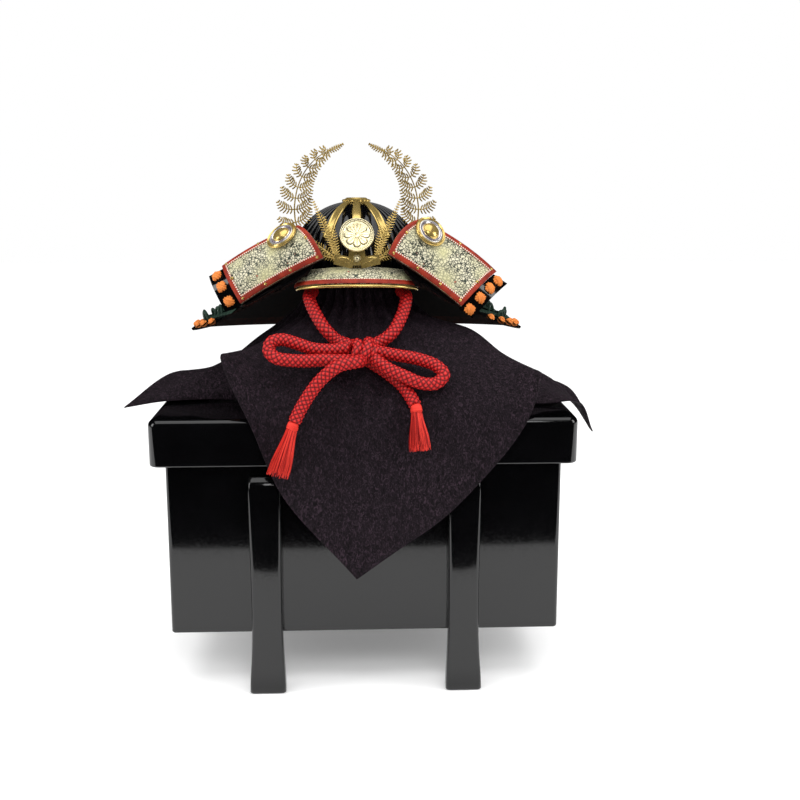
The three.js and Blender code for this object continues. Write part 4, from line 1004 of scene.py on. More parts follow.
def crown_ring():
    """Petalled collar round the hole in the crown, which narrows upward in steps."""
    build = Build()
    seat = rib_height / 2 + clearance

    def dome_z(radius):
        share = radius / bowl_half_width
        return rim_z + bowl_height * (1 - share**bowl_fullness) ** (1 / bowl_fullness) + seat

    high = crown_z + seat + crown_height
    count = 160
    profile = [
        (crown_hole_radius, dome_z(crown_hole_radius), 0), (crown_radius, dome_z(crown_radius), 1),
        (crown_radius, high - crown_height * 0.75, 1),
        (crown_radius * 0.92, high - crown_height * 0.6, 0.8),
        (crown_radius * 0.82, high - crown_height * 0.5, 0.2),
        (crown_radius * 0.74, high - crown_height * 0.3, 0),
        (crown_radius * 0.7, high - 0.2, 0), (crown_radius * 0.62, high, 0),
        (crown_hole_radius + 0.4, high, 0), (crown_hole_radius, high - 0.4, 0),
    ]
    rings = []
    for radius, z, petal in profile:
        ring = []
        for turn in angles(count):
            size = radius - petal * 0.9 * (1 - abs(sin(turn * 8)))
            ring.append((helmet_shift + size * cos(turn), size * sin(turn), z))
        rings.append(ring)
    points, faces = loft(rings, closed=True)
    build.add(points, faces)
    piece = build.piece("gilt_crown_ring", [gilt], sharp=40)
    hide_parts("crown_ring")


bowl()
bowl_hoop()
bowl_strap("front_band_center", 0, rim_z + bowl_height * center_band_foot)
bowl_strap("front_band_left", -band_turn, rim_z + bowl_height * side_band_foot)
bowl_strap("front_band_right", band_turn, rim_z + bowl_height * side_band_foot)
crown_ring()


# Visor
def visor_surface(across, down):
    """A point of the visor's under face: across runs from -1 to 1, down from the bowl to the rim."""
    top_angle = radians(across * visor_top_turn)
    top_grow = rib_height + 2 * clearance
    low_angle = across * pi / 2
    end_depth = bowl_half_depth * visor_end_share
    high = ((bowl_half_width + top_grow) * sin(top_angle), -(bowl_half_depth + top_grow) * cos(top_angle),
            rim_z + mix(-3, 6, cos(top_angle) ** 2))
    low = (visor_half_width * sin(low_angle),
           -end_depth - (bowl_half_depth + visor_reach - end_depth) * cos(low_angle),
           rim_z - visor_drop + visor_drop * 0.5 * cos(low_angle))
    arch = visor_arch * sin(down * pi)
    return Vector((helmet_shift + mix(high[0], low[0], down), mix(high[1], low[1], down),
                   mix(high[2], low[2], down) + arch))


def visor_point(across, down, lift=0.0):
    step = 0.01
    sideways = visor_surface(across + step, down) - visor_surface(across - step, down)
    outward = visor_surface(across, down + step) - visor_surface(across, down - step)
    return visor_surface(across, down) + outward.cross(sideways).normalized() * lift


def visor_patch(down_from, down_to, lift, thickness, spans, dent=lambda across, down: 0.0):
    front = [[visor_point(share * 2 - 1, mix(down_from, down_to, step),
                          lift + thickness + dent(share * 2 - 1, step))
              for step in shares(spans[1])] for share in shares(spans[0])]
    back = [[visor_point(share * 2 - 1, mix(down_from, down_to, step), lift)
             for step in shares(spans[1])] for share in shares(spans[0])]
    uvs = [(share * 2 * visor_half_width * 1.3 * MM, mix(down_from, down_to, step) * visor_reach * 1.4 * MM)
           for share in shares(spans[0]) for step in shares(spans[1])] * 2
    return *wall(front, back), uvs


def visor():
    border_share = visor_border_width / (visor_reach + visor_drop / 2)
    points, faces, uvs = visor_patch(0, 1, 0, visor_thickness, (72, 12))
    piece = new_piece("leather_visor", points, faces, [printed_leather, brown_leather], uvs,
                      face_slots=front_slots(points, faces))
    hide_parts("visor")
    seat = visor_thickness + 1.5 * clearance
    points, faces, uvs = visor_patch(
        1 - border_share, 1, seat, visor_border_thickness, (120, 8),
        lambda across, down: 0.35 * sin(down * pi) - 0.35)
    piece = new_piece("leather_visor_border", points, faces, [red_leather], uvs)
    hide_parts("visor_border")
    build = Build()
    route = []
    for share in shares(40):
        across = share * 2 - 1
        edge = visor_surface(across, 1)
        outward = (edge - visor_surface(across, 0.98)).normalized()
        normal = visor_point(across, 1, 1) - edge
        route.append(edge + normal * visor_thickness / 2 + outward * (visor_rim_radius + 1.5 * clearance))
    build.add(*tube(route, visor_rim_radius, 16, 1.5,
                    lambda share: 0.55 + 0.45 * smooth(min(share, 1 - share) * 30)))
    piece = build.piece("gilt_visor_rim", [gilt])
    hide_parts("visor_rim")
    down = 1 - border_share - 0.012
    route = [visor_point(share * 2 - 1, down, visor_thickness + 0.25) for share in shares(60)]
    build = Build()
    build.add(*tube(route, 0.55, 8, 0.8))
    build.piece("visor_piping", [piping], slot="printed_leather")


visor()


# Turned-back wings
def helmet_point(place):
    across, deep, high = place
    return Vector((helmet_shift + across * guard_half_width, deep * bowl_half_depth,
                   rim_z + high * bowl_height))


wings = {
    "left": {
        "inner_low": (-0.187, -1.18, 0.26), "inner_high": (-0.329, -0.8, 0.685),
        "outer_high": (-0.783, -0.5, 0.095), "outer_low": (-0.668, -0.824, -0.408),
        "inner_bulge": 5, "top_bulge": 2, "outer_bulge": -2, "low_bulge": -1, "bow": 8, "arch": 2,
        "boss": (0.24, 0.8),
    },
    "right": {
        "inner_low": (0.174, -1.15, 0.31), "inner_high": (0.357, -0.82, 0.765),
        "outer_high": (0.815, -0.59, 0.011), "outer_low": (0.592, -1.03, -0.43),
        "inner_bulge": 6, "top_bulge": 3, "outer_bulge": -2, "low_bulge": -1, "bow": 6, "arch": 2,
        "boss": (0.21, 0.78),
    },
}


def wing_frame(wing):
    corners = [helmet_point(wing[key]) for key in ("inner_low", "inner_high", "outer_high", "outer_low")]
    inner_low, inner_high, outer_high, outer_low = corners
    along = (outer_low - inner_low + outer_high - inner_high).normalized()
    up = (inner_high - inner_low + outer_high - outer_low).normalized()
    normal = along.cross(up).normalized()
    if normal.y > 0:
        normal.negate()
    return inner_low, inner_high, outer_high, outer_low, along, up, normal


def wing_point(wing, along, up, lift=0.0):
    inner_low, inner_high, outer_high, outer_low, along_axis, up_axis, normal = wing_frame(wing)

    def bump(share):
        return 4 * clamp(share) * (1 - clamp(share))

    low = inner_low.lerp(outer_low, along)
    high = inner_high.lerp(outer_high, along)
    point = low.lerp(high, up)
    point += along_axis * mix(-wing["inner_bulge"] * bump(up), wing["outer_bulge"] * bump(up), clamp(along))
    point += up_axis * mix(-wing["low_bulge"] * bump(along), wing["top_bulge"] * bump(along), clamp(up))
    return point + normal * (wing["bow"] * bump(up) + wing["arch"] * bump(along) + lift)


def wing_sizes(wing):
    inner_low, inner_high, _, outer_low, *_ = wing_frame(wing)
    return (outer_low - inner_low).length, (inner_high - inner_low).length


def wing_normal(wing, along, up):
    seat = wing_point(wing, along, up)
    direction = (wing_point(wing, along + 0.05, up) - seat).cross(wing_point(wing, along, up - 0.05) - seat)
    direction.normalize()
    if direction.y > 0:
        direction.negate()
    return seat, direction


def wing_patch(wing, along_span, up_span, spans, dent=lambda a, u: 0.0):
    length, height = wing_sizes(wing)
    grid = [(mix(*along_span, a), mix(*up_span, u)) for a in shares(spans[0]) for u in shares(spans[1])]
    rows = spans[1] + 1

    def layer(lift, dented):
        points = [wing_point(wing, a, u, lift + (dent(a, u) if dented else 0)) for a, u in grid]
        return [points[start:start + rows] for start in range(0, len(points), rows)]

    uvs = [(a * length * MM, u * height * MM) for a, u in grid] * 2
    return *wall(layer(0, True), layer(-wing_thickness, False)), uvs


def wing_loop(wing, inset, lift, count):
    """Points round a wing, a distance in from its edge."""
    length, height = wing_sizes(wing)
    inset_along, inset_up = inset / length, inset / height
    whole = 2 * (length + height)
    points = []
    for step in range(count):
        spot = step / count * whole
        if spot < length:
            along, up = spot / length, 0
        elif spot < length + height:
            along, up = 1, (spot - length) / height
        elif spot < 2 * length + height:
            along, up = 1 - (spot - length - height) / length, 1
        else:
            along, up = 0, 1 - (spot - 2 * length - height) / height
        points.append(wing_point(wing, mix(inset_along, 1 - inset_along, along),
                                 mix(inset_up, 1 - inset_up, up), lift))
    return points


def wing_border(side, wing):
    """Leather binding, rolled over the wing's edge and a little lumpy."""
    rng = random.Random(border_seeds[side])
    phases = [rng.uniform(0, 2 * pi) for _ in range(5)]
    count = border_steps
    rings_front, rings_back = [], []
    steps = shares(6)
    loops = [wing_loop(wing, wing_border_width * step, wing_border_lift, count) for step in steps]
    tops = [wing_loop(wing, wing_border_width * step, wing_border_lift + 1, count) for step in steps]
    for index in range(count):
        turn = index / count * 2 * pi
        lump = sum(sin(turn * (9 + 5 * k) + phase) for k, phase in enumerate(phases)) / 5
        front, back = [], []
        for column, step in enumerate(steps):
            base = loops[column][index]
            outward = tops[column][index] - base
            crown = sin(pi * clamp(0.12 + step * 0.76))
            height = wing_border_thickness * (0.35 + 0.75 * crown) + 0.22 * lump * crown
            front.append(base + outward * height)
            back.append(base)
        rings_front.append(front)
        rings_back.append(back)
    points, faces = wall(rings_front, rings_back, True)
    uvs = [(index / count * 0.24, step * wing_border_width * MM) for index in range(count)
           for step in steps] * 2
    piece = new_piece(f"leather_wing_border_{side}", points, faces, [red_leather], uvs, sharp=60)
    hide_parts(f"wing_border_{side}")


def wing_boss(side, wing):
    """A turned boss: a gilt rim, two silver rings with a purple thread between them, a gilt dome."""
    seat, direction = wing_normal(wing, *wing["boss"])
    lift = clearance + wing["bow"] * 0.14
    build = Build()
    rings = [
        (0, [(0.01, lift), (boss_radius - 0.3, lift), (boss_radius, lift + 0.3), (boss_radius, lift + 0.9),
             (boss_radius * 0.97, lift + 1.5), (boss_radius * 0.93, lift + 1.3),
             (boss_radius * 0.88, lift + 1.9), (boss_radius * 0.83, lift + 1.5),
             (boss_radius * 0.8, lift + 1)]),
        (1, [(boss_radius * 0.8, lift + 1), (boss_radius * 0.78, lift + 1.9),
             (boss_radius * 0.72, lift + 2.2), (boss_radius * 0.66, lift + 1.9)]),
        (2, [(boss_radius * 0.66, lift + 1.9), (boss_radius * 0.645, lift + 2.2),
             (boss_radius * 0.63, lift + 1.9)]),
        (1, [(boss_radius * 0.63, lift + 1.9), (boss_radius * 0.6, lift + 2.3),
             (boss_radius * 0.56, lift + 2), (boss_dome_radius * 1.04, lift + 1.8)]),
        (0, [(boss_dome_radius * 1.04, lift + 1.8)] + [
            (boss_dome_radius * cos(share * pi / 2 * 0.98),
             lift + 2 + (boss_height - 2) * sin(share * pi / 2))
            for share in shares(8)]),
    ]
    for slot, profile in rings:
        points, faces = turned(profile, seat, direction, boss_sides, caps=False)
        if profile[-1][0] < 1:
            faces.append([len(points) - boss_sides + step for step in range(boss_sides)])
        build.add(points, faces, [(p[0] * MM, p[2] * MM) for p in points], slot)
    piece = build.piece(f"gilt_wing_boss_{side}", [gilt, silver, purple_thread], sharp=45)
    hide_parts(f"wing_boss_{side}")


def knot_cross(build, seat, normal, along, size, seed):
    """A cross stitch of soft cord, three strands each way, raised on a surface."""
    rng = random.Random(seed)
    normal = Vector(normal).normalized()
    along = (Vector(along) - normal * Vector(along).dot(normal)).normalized()
    across = normal.cross(along)
    for layer, turn in enumerate((pi / 4, -pi / 4)):
        heading = along * cos(turn) + across * sin(turn)
        beside = normal.cross(heading)
        for offset in (-1, 0, 1):
            swell = 1 + rng.uniform(-0.12, 0.12)
            route = []
            for share in (0, 0.18, 0.5, 0.82, 1):
                reach = (share - 0.5) * size * (1 if offset == 0 else 0.84)
                rise = 0.4 + (1.1 + layer * 0.9) * sin(share * pi) ** 0.6
                route.append(Vector(seat) + heading * reach + beside * offset * size * 0.17 * swell
                             + normal * rise)
            build.add(*tube(route, size * 0.125, 7, 0.7, lambda share: 0.7 + 0.45 * sin(share * pi)))


# Rivets, as shares along and up the wing, and the spans of the black plate past its outer end
rivet_places = [
    (0.05, 0.06), (0.35, 0.06), (0.65, 0.06), (0.94, 0.06), (0.055, 0.5), (0.06, 0.93), (0.5, 0.94),
    (0.94, 0.93), (0.945, 0.5),
]
end_plate_spans = ((1.006, 1.19), (-0.04, 0.9))
end_stitch_along = 1.095
end_stitch_size = 10
end_stitch_places = {"left": [0.14, 0.46, 0.76], "right": [0.04, 0.3, 0.56, 0.8]}


def wing_pieces(side, wing):
    def quilt(a, u):
        edge = min(a, 1 - a, u, 1 - u)
        return 0.0 if edge < 0.02 else -0.12 + 0.12 * sin(a * 23 + u * 5) * sin(u * 11)

    points, faces, uvs = wing_patch(wing, (0, 1), (0, 1), (40, 24), quilt)
    piece = new_piece(f"leather_wing_{side}", points, faces, [printed_leather, brown_leather], uvs,
                      face_slots=front_slots(points, faces))
    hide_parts(f"wing_{side}")
    wing_border(side, wing)
    wing_boss(side, wing)
    build = Build()
    route = wing_loop(wing, wing_border_width + 0.7, wing_border_lift + 0.2, 120)
    build.add(*tube([*route, route[0]], piping_radius, 8, 0.8))
    build.piece(f"wing_piping_{side}", [piping], slot="printed_leather")
    build = Build()
    for along, up in rivet_places:
        seat, direction = wing_normal(wing, along, up)
        points, faces = turned([(0.05, 0.2), (1.4, 0.2), (1.4, 1.3), (1.1, 1.9), (0.5, 2.2), (0.05, 2.3)],
                               seat, direction, 14)
        build.add(points, faces)
    build.piece(f"wing_rivets_{side}", [gilt], slot="gilt")
    points, faces, uvs = wing_patch(wing, *end_plate_spans, (8, 20))
    piece = new_piece(f"lacquer_lame_end_{side}", points, faces, [lacquer], uvs)
    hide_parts(f"lame_end_{side}")
    build = Build()
    for index, up in enumerate(end_stitch_places[side]):
        seat, direction = wing_normal(wing, end_stitch_along, up)
        knot_cross(build, seat, direction, wing_point(wing, 1.15, up) - seat, end_stitch_size, 30 + index)
    build.piece(f"end_stitches_{side}", [orange_silk], slot="red_braid", sharp=70)


for side, wing in wings.items():
    wing_pieces(side, wing)


# Neck guard
def guard_point(turn, drop, lift=0.0):
    start = rib_height + clearance
    half_width = mix(bowl_half_width + start, guard_half_width, drop)
    front = mix(bowl_half_depth + start, guard_front_depth, drop)
    back = mix(bowl_half_depth + start, guard_back_depth, drop)
    forward, rearward = max(0, -sin(turn)), max(0, sin(turn))
    slope = atan2(guard_drop, guard_half_width - bowl_half_width)
    outward = lift * sin(slope)
    half_depth = (front if sin(turn) < 0 else back) + outward
    return Vector((helmet_shift + (half_width + outward) * cos(turn), half_depth * sin(turn),
                   rim_z - guard_top_drop - guard_drop * drop + guard_front_rise * forward**2
                   - guard_back_fall * rearward * drop + lift * cos(slope)))


def lame_lift(index, share):
    """How far a lame's inner face stands off the guard's slope, from its top edge to its bottom."""
    top_lift = 0 if index == 0 else (lame_thickness + clearance) * (1 + lame_overlap) * 1.04
    return mix(top_lift, 0, share)


def lame_drop(index, share):
    height = 1 / guard_lames
    overlap = 0 if index == 0 else lame_overlap * height
    return mix(index * height - overlap, (index + 1) * height, share)


def lame_point(index, turn, share, lift=0.0):
    return guard_point(turn, lame_drop(index, share), lame_lift(index, share) + lift)


guard_turns = (-64, 244)
lame_cells = 220
lame_rows = 10
lace_spacing = 4.1
lace_span = (0.16, 0.9)
last_lace_span = (0.2, 0.46)
loop_radius = 1.15
# Turns between which the corner loops stand, and the lames that carry them with their loop counts
loop_turns = ((192, 213), (-12, -33))
loop_lames = ((3, 5), (4, 6))
stitch_count = 34
stitch_turns = (-41, 221)
stitch_drop = 0.74
stitch_size = 6.4
# Room round a wing that the guard leaves free: shares along and up the wing, and depth behind it
wing_room_along = (-0.4, 1.45)
wing_room_up = (-0.6, 1.15)
wing_room_behind = 5.5
# Turns of the guard's two ends at which its lacing still clears the turned-back wings
lace_turns = {0: (-20, 200), 1: (-24, 204), 2: (-30, 210), 3: (-38, 218), 4: (-44, 224)}


def hidden_by_wing(point):
    """Whether a point of the guard lies in the room of a wing or of its end plate."""
    for wing in wings.values():
        inner_low, inner_high, _, outer_low, along_axis, up_axis, normal = wing_frame(wing)
        offset = point - inner_low
        length = (outer_low - inner_low).length
        along = offset.dot(along_axis) / length
        up = offset.dot(up_axis) / (inner_high - inner_low).length
        front = (point - wing_point(wing, clamp(along), clamp(up))).dot(normal)
        beside = wing_room_along[0] < along < wing_room_along[1]
        if beside and wing_room_up[0] < up < wing_room_up[1] and front > -wing_room_behind:
            return True
    return False


def cut_wall(front, back, kept, inside):
    """A wall of the kept cells only: material slot 0 on its front, 1 on its edges, inside on its back."""
    points, faces, slots = [], [], []
    places = {}

    def vertex(layer, spot):
        if (layer, spot) not in places:
            places[layer, spot] = len(points)
            points.append((front, back)[layer][spot[0]][spot[1]])
        return places[layer, spot]

    for row, column in sorted(kept):
        corners = [(row, column), (row + 1, column), (row + 1, column + 1), (row, column + 1)]
        faces.append([vertex(0, corner) for corner in corners])
        faces.append([vertex(1, corner) for corner in reversed(corners)])
        slots += [0, inside(column)]
        for edge, (rows_on, columns_on) in enumerate(((0, -1), (1, 0), (0, 1), (-1, 0))):
            if (row + rows_on, column + columns_on) not in kept:
                start, end = corners[edge], corners[(edge + 1) % 4]
                faces.append([vertex(1, start), vertex(1, end), vertex(0, end), vertex(0, start)])
                slots.append(1)
    return points, faces, slots


def lame(index):
    """One lame, left out where the wings and their end plates need the room."""
    turns = [radians(mix(*guard_turns, share)) for share in shares(lame_cells)]
    drops = shares(lame_rows)
    front = [[lame_point(index, turn, drop, lame_thickness) for drop in drops] for turn in turns]
    back = [[lame_point(index, turn, drop) for drop in drops] for turn in turns]
    kept = set()
    for row in range(lame_cells):
        for column in range(lame_rows):
            middle = (front[row][column] + front[row + 1][column + 1]) / 2
            if not hidden_by_wing(middle):
                kept.add((row, column))
    # The lower half of the last lame's back takes the hem's painted shade colour
    hem_cell = lame_rows * 0.5 if index == guard_lames - 1 else lame_rows
    points, faces, slots = cut_wall(front, back, kept, lambda column: 2 if column >= hem_cell else 1)
    name = f"neck_lame_{index + 1}"
    piece = new_piece(f"lacquer_{name}", points, faces, [lacquer, lame_lining, shaded_lame_hem], sharp=40,
                      face_slots=slots)
    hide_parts(name)


def lace_row(build, index, rng):
    """Close vertical laces over one lame, each a soft flat cord that follows its slope."""
    low_turn, high_turn = lace_turns[index]
    top, bottom = lace_span if index < guard_lames - 1 else last_lace_span
    turn = radians(low_turn)
    while turn < radians(high_turn):
        spot = lame_point(index, turn, 0.6)
        ahead = lame_point(index, turn + 0.01, 0.6)
        pace = 0.01 * lace_spacing / (ahead - spot).length
        if not hidden_by_wing(spot):
            rise = lame_thickness + 0.2
            rows = []
            for share in shares(6):
                drop = mix(top, bottom, share)
                bulge = 0.95 * sin(clamp(0.1 + share * 0.8) * pi) ** 0.5 + rng.uniform(-0.07, 0.07)
                middle = lame_point(index, turn, drop, rise + bulge)
                left = lame_point(index, turn - pace * 0.45, drop, rise + bulge * 0.35)
                right = lame_point(index, turn + pace * 0.45, drop, rise + bulge * 0.35)
                under = lame_point(index, turn, drop, rise - 0.15)
                rows.append([left, left.lerp(middle, 0.5) + (middle - under) * 0.3, middle,
                             right.lerp(middle, 0.5) + (middle - under) * 0.3, right, under])
            points, faces = loft(rows)
            uvs = [(share * 0.012, column / 6) for share in shares(6) for column in range(6)]
            build.add(points, faces, uvs)
        turn += pace


def edge_stitches(build):
    """Orange cross stitches along the lowest lame."""
    index = guard_lames - 1
    for step in range(stitch_count):
        turn = radians(mix(*stitch_turns, (step + 0.5) / stitch_count))
        seat = lame_point(index, turn, stitch_drop, lame_thickness + 0.1)
        if hidden_by_wing(seat):
            continue
        above = lame_point(index, turn, 0.6, lame_thickness)
        beside = lame_point(index, turn + 0.02, stitch_drop, lame_thickness) - seat
        normal = beside.cross(above - seat)
        if normal.dot(seat - Vector((helmet_shift, 0, seat.z))) < 0:
            normal.negate()
        knot_cross(build, seat, normal, beside, stitch_size, 60 + step)


def end_loops(build, rng):
    """Soft loops of the side laces, which stand up off the guard's two front corners."""
    for span in loop_turns:
        for index, count in loop_lames:
            for loop in range(count):
                turn = radians(mix(*span, (loop + rng.random() * 0.6) / count))
                seat = lame_point(index, turn, 0.15 + 0.4 * rng.random(), lame_thickness + 0.4)
                outward = Vector((seat.x - helmet_shift, seat.y, 0)).normalized()
                rise = (outward * rng.uniform(-0.1, 0.5) + Vector((0, 0, 1))).normalized()
                beside = (lame_point(index, turn + 0.03, 0.5) - lame_point(index, turn, 0.5)).normalized()
                width, height = rng.uniform(2.6, 4.4), rng.uniform(5.0, 8.5)
                route = [seat + beside * cos(share * pi) * width + rise * sin(share * pi) * height
                         for share in shares(8)]
                build.add(*tube(route, loop_radius, 8, 0.9))


def neck_guard():
    rng = random.Random(5)
    for index in range(guard_lames):
        lame(index)
    laces = Build()
    for index in range(guard_lames):
        lace_row(laces, index, rng)
    laces.piece("guard_laces", [green_silk], slot="red_braid", sharp=70)
    loops = Build()
    end_loops(loops, rng)
    loops.piece("guard_end_loops", [green_silk], slot="red_braid", sharp=70)
    stitches = Build()
    edge_stitches(stitches)
    stitches.piece("guard_stitches", [orange_silk], slot="red_braid", sharp=70)


neck_guard()

# Crest
crest_depth = bowl_half_depth + 8
disc_height = rim_z + bowl_height * 0.57
disc_seat = Vector((helmet_shift, -crest_depth, disc_height))
disc_facing = Vector((0, -cos(radians(disc_lean)), sin(radians(disc_lean))))
crest_high_y = visor_point(0, 0, visor_thickness).y
crest_low_y = visor_point(0, 1, visor_thickness).y
crest_foot = visor_point(0, (crest_thickness - crest_depth - crest_high_y) / (crest_low_y - crest_high_y),
                         visor_thickness).z + 2 * clearance
spray_thickness = frond_thickness * 0.8
frond_pitch = 2.2
spray_pitch = 2.5
spray_fill = 0.4
leaf_curl = 0.17
leaf_width = 10
frond_tip_start = 0.88
frond_tip_width = 5.6
disc_sides = 160
disc_beads = 48
boss_flower_sides = 48
pinnule_lean = radians(16)
spray_back = -crest_depth + crest_thickness + clearance
frond_back = spray_back + spray_thickness + 3 * clearance
leaf_foot_z = crest_foot + crest_base_height * 0.6
hub_radius = 2.6


def spray_depth(x, z):
    """The sprays lean back as they rise, and lie equally deep from side to side."""
    return spray_back + (z - leaf_foot_z + hub_radius) * spray_lean


def frond_depth(side):
    start_x = stalk_across[0] * frond_spread

    def depth(x, z):
        away = hypot(side * x - start_x, z - leaf_foot_z)
        back = frond_back + frond_recess * smooth((away - 4) / (bowl_height * 0.75))
        return max(back, spray_depth(x, z) + spray_thickness + 3 * clearance)

    return depth


# The stalk's places, then its leaves: place on it, length, and turn away from it on either side
stalk_across = [0.3, 0.52, 0.8, 0.96, 1, 0.985, 0.93, 0.81, 0.64, 0.42, 0.2]
stalk_height = [0.04, 0.14, 0.235, 0.33, 0.45, 0.55, 0.665, 0.785, 0.88, 0.95, 1]
leaf_places = [0.37, 0.45, 0.52, 0.59, 0.66, 0.73, 0.795, 0.85]
outer_lengths = [15.5, 16, 15, 13.5, 12, 10, 8.5, 7]
outer_turns = [62, 62, 58, 52, 48, 46, 42, 36]
inner_lengths = [17.5, 17.5, 16, 14.5, 13, 11, 9, 7]
inner_turns = [60, 58, 52, 48, 46, 42, 40, 36]


def flat_bar(build, line, half_widths, depth, thickness, crown):
    """A stamped strip: a line of points with a half width each, bent onto the crest's surface."""
    rings = []
    for index, (point, half) in enumerate(zip(line, half_widths)):
        ahead = line[min(index + 1, len(line) - 1)]
        behind = line[max(index - 1, 0)]
        heading = (ahead - behind).normalized()
        across = Vector((-heading.y, heading.x))
        ring = []
        for shift, rise in ((-1, 0.15), (-0.55, 0.8), (0, 1.0), (0.55, 0.8), (1, 0.15), (0, -0.6)):
            spot = point + across * half * shift
            y = depth(spot.x, spot.y)
            middle = thickness * 0.5
            ring.append((helmet_shift + spot.x, y + middle - rise * (middle + crown * half * 0.3), spot.y))
        rings.append(ring)
    build.add(*loft(rings))


def comb_leaf(build, foot, tip, curl, pitch, width, depth, thickness, stem=0.0, fill=0.58):
    """A fern leaf: a thin curved midrib with a row of narrow pinnules down each side."""
    along = tip - foot
    heading = along.normalized()
    across = Vector((-heading.y, heading.x))
    pinnules = max(3, round(along.length / pitch))
    half = pitch * fill / 2

    def spot(share):
        return foot + along * share + across * curl * 4 * share * (1 - share)

    line = [spot(share) for share in shares(9)]
    flat_bar(build, line, [mix(0.5, 0.3, share) for share in shares(9)], depth, thickness, 0.6)
    for step in range(pinnules):
        share = mix(0.04 + stem, 1, (step + 0.5) / pinnules)
        root = spot(share)
        here = (spot(min(share + 0.02, 1)) - spot(share - 0.02)).normalized()
        swell = 0.72 + 0.28 * sin(clamp(share * 2) * pi / 2)
        reach = width / 2 * swell * (1 - 0.6 * smooth((share - 0.5) / 0.5))
        for flank in (-1, 1):
            beside = Vector((-here.y, here.x)) * flank
            lean = beside * cos(pinnule_lean) + here * sin(pinnule_lean)
            end = root + lean * reach + here * reach * 0.14
            middle = root.lerp(end, 0.5) - here * 0.05 * reach
            flat_bar(build, [root, middle, root.lerp(end, 0.86), end],
                     [half * 0.85, half, half * 0.85, half * 0.35], depth, thickness * 0.85, 0.9)


def stalk_curve():
    route = [Vector((across * frond_spread, crest_foot + high * frond_height, 0))
             for across, high in zip(stalk_across, stalk_height)]
    return smooth_route(route, 0.8)[0]


def fern_frond(name, side):
    """A tall curved stalk with fern leaves down both sides and one at its tip."""
    depth = frond_depth(side)
    line = [Vector((point.x * side, point.y)) for point in stalk_curve()]
    last = len(line) - 1
    build = Build()
    flat_bar(build, line, [frond_stalk / 2 * (1 - 0.62 * index / last) for index in range(last + 1)],
             depth, frond_thickness, 0.8)
    for place, *flanks in zip(leaf_places, outer_lengths, outer_turns, inner_lengths, inner_turns):
        spot = place * last
        index = int(spot)
        point = line[index].lerp(line[index + 1], spot - index)
        tangent = (line[index + 2] - line[index - 2]).normalized()
        for flank, length, turn in ((side, flanks[0], flanks[1]), (-side, flanks[2], flanks[3])):
            angle = -flank * radians(turn)
            heading = Vector((tangent.x * cos(angle) - tangent.y * sin(angle),
                              tangent.x * sin(angle) + tangent.y * cos(angle)))
            comb_leaf(build, point, point + heading * length, -flank * length * leaf_curl,
                      frond_pitch, leaf_width * (0.5 + 0.5 * length / 16), depth,
                      frond_thickness)
    foot_index = int(frond_tip_start * last)
    comb_leaf(build, line[foot_index], line[last], side * 0.8, frond_pitch, frond_tip_width, depth,
              frond_thickness)
    piece = build.piece(f"leaf_{name}", [leaf_gilt], sharp=60)
    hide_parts(name)


# A spray's leaves: the tip as shares of the crest base's width, and the leaf's own width
spray_leaves = [((0.92, 1.22), 7.4), ((0.7, 0.9), 6.6), ((0.5, 0.72), 5.8), ((0.98, 0.42), 7.0),
                ((0.86, 0.12), 6.4)]


def fern_spray(name, side):
    """Five short fern leaves that spread from one small hub."""
    foot = Vector((side * crest_base_width * 0.4, leaf_foot_z))
    build = Build()
    for (across, high), width in spray_leaves:
        tip = Vector((side * across * crest_base_width, foot.y + high * crest_base_width))
        comb_leaf(build, foot, tip, 0.0, spray_pitch, width, spray_depth, spray_thickness, 0.06,
                  spray_fill)
    hub = [foot + Vector((cos(turn), sin(turn))) * hub_radius
           for turn in angles(6)]
    rings = []
    for shift in (0.0, spray_thickness):
        rings.append([(helmet_shift + spot.x, spray_depth(spot.x, spot.y) + shift, spot.y) for spot in hub])
    build.add(*loft(rings))
    piece = build.piece(f"leaf_{name}", [spray_gilt], sharp=60)
    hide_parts(name)


def crest_disc():
    """A pale gilt disc with a raised rim and a generic rosette of eight petals."""
    build = Build()
    half = disc_thickness / 2
    direction = disc_facing.normalized()
    side = Vector((1, 0, 0))
    up = direction.cross(side) * -1
    radii = [0.02, 0.6, 1.2, 1.9, 2.6, 3.4, 4.3, 5.2, 6.1, 7.0, 7.9, 8.7, 9.5, 10.2, 10.8, 11.4, 11.9,
             12.3, 12.7, 13.1, 13.5, 13.9, 14.2, 14.45, disc_radius, disc_radius]
    rings = []
    for index, radius in enumerate(radii):
        ring = []
        for turn in angles(disc_sides):
            petal = abs(cos(turn * 4))
            if index == len(radii) - 1:
                height = -half
            elif radius > disc_radius * 0.93:
                height = half * (1 if radius < disc_radius else 0.7)
            elif radius > disc_radius * 0.84:
                bead = 0.5 + 0.5 * cos(turn * disc_beads)
                height = half * (0.45 + 0.3 * bead)
            else:
                reach = radius / (disc_radius * 0.8)
                edge = 0.62 + 0.36 * petal**0.5
                inside = smooth((edge - reach) / 0.07)
                groove = smooth((0.16 - abs((turn * 4 / pi) % 1 - 0.5) * 2) / 0.16) * smooth(reach * 3)
                vein = smooth((abs(cos(turn * 4)) - 0.985) / 0.012) * smooth(reach * 2.4)
                height = half * (0.35 + 0.5 * inside * (0.7 + 0.3 * sin(reach * pi))
                                 - 0.28 * groove * inside - 0.16 * vein * inside)
                if radius < 2:
                    height = half * (0.95 - 0.1 * radius)
            ring.append(disc_seat + direction * height + (side * cos(turn) + up * sin(turn)) * radius)
        rings.append(ring)
    points, faces = loft(rings)
    build.add(points, faces)
    piece = build.piece("gilt_crest_disc", [pale_gilt], sharp=70)
    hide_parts("crest_disc")


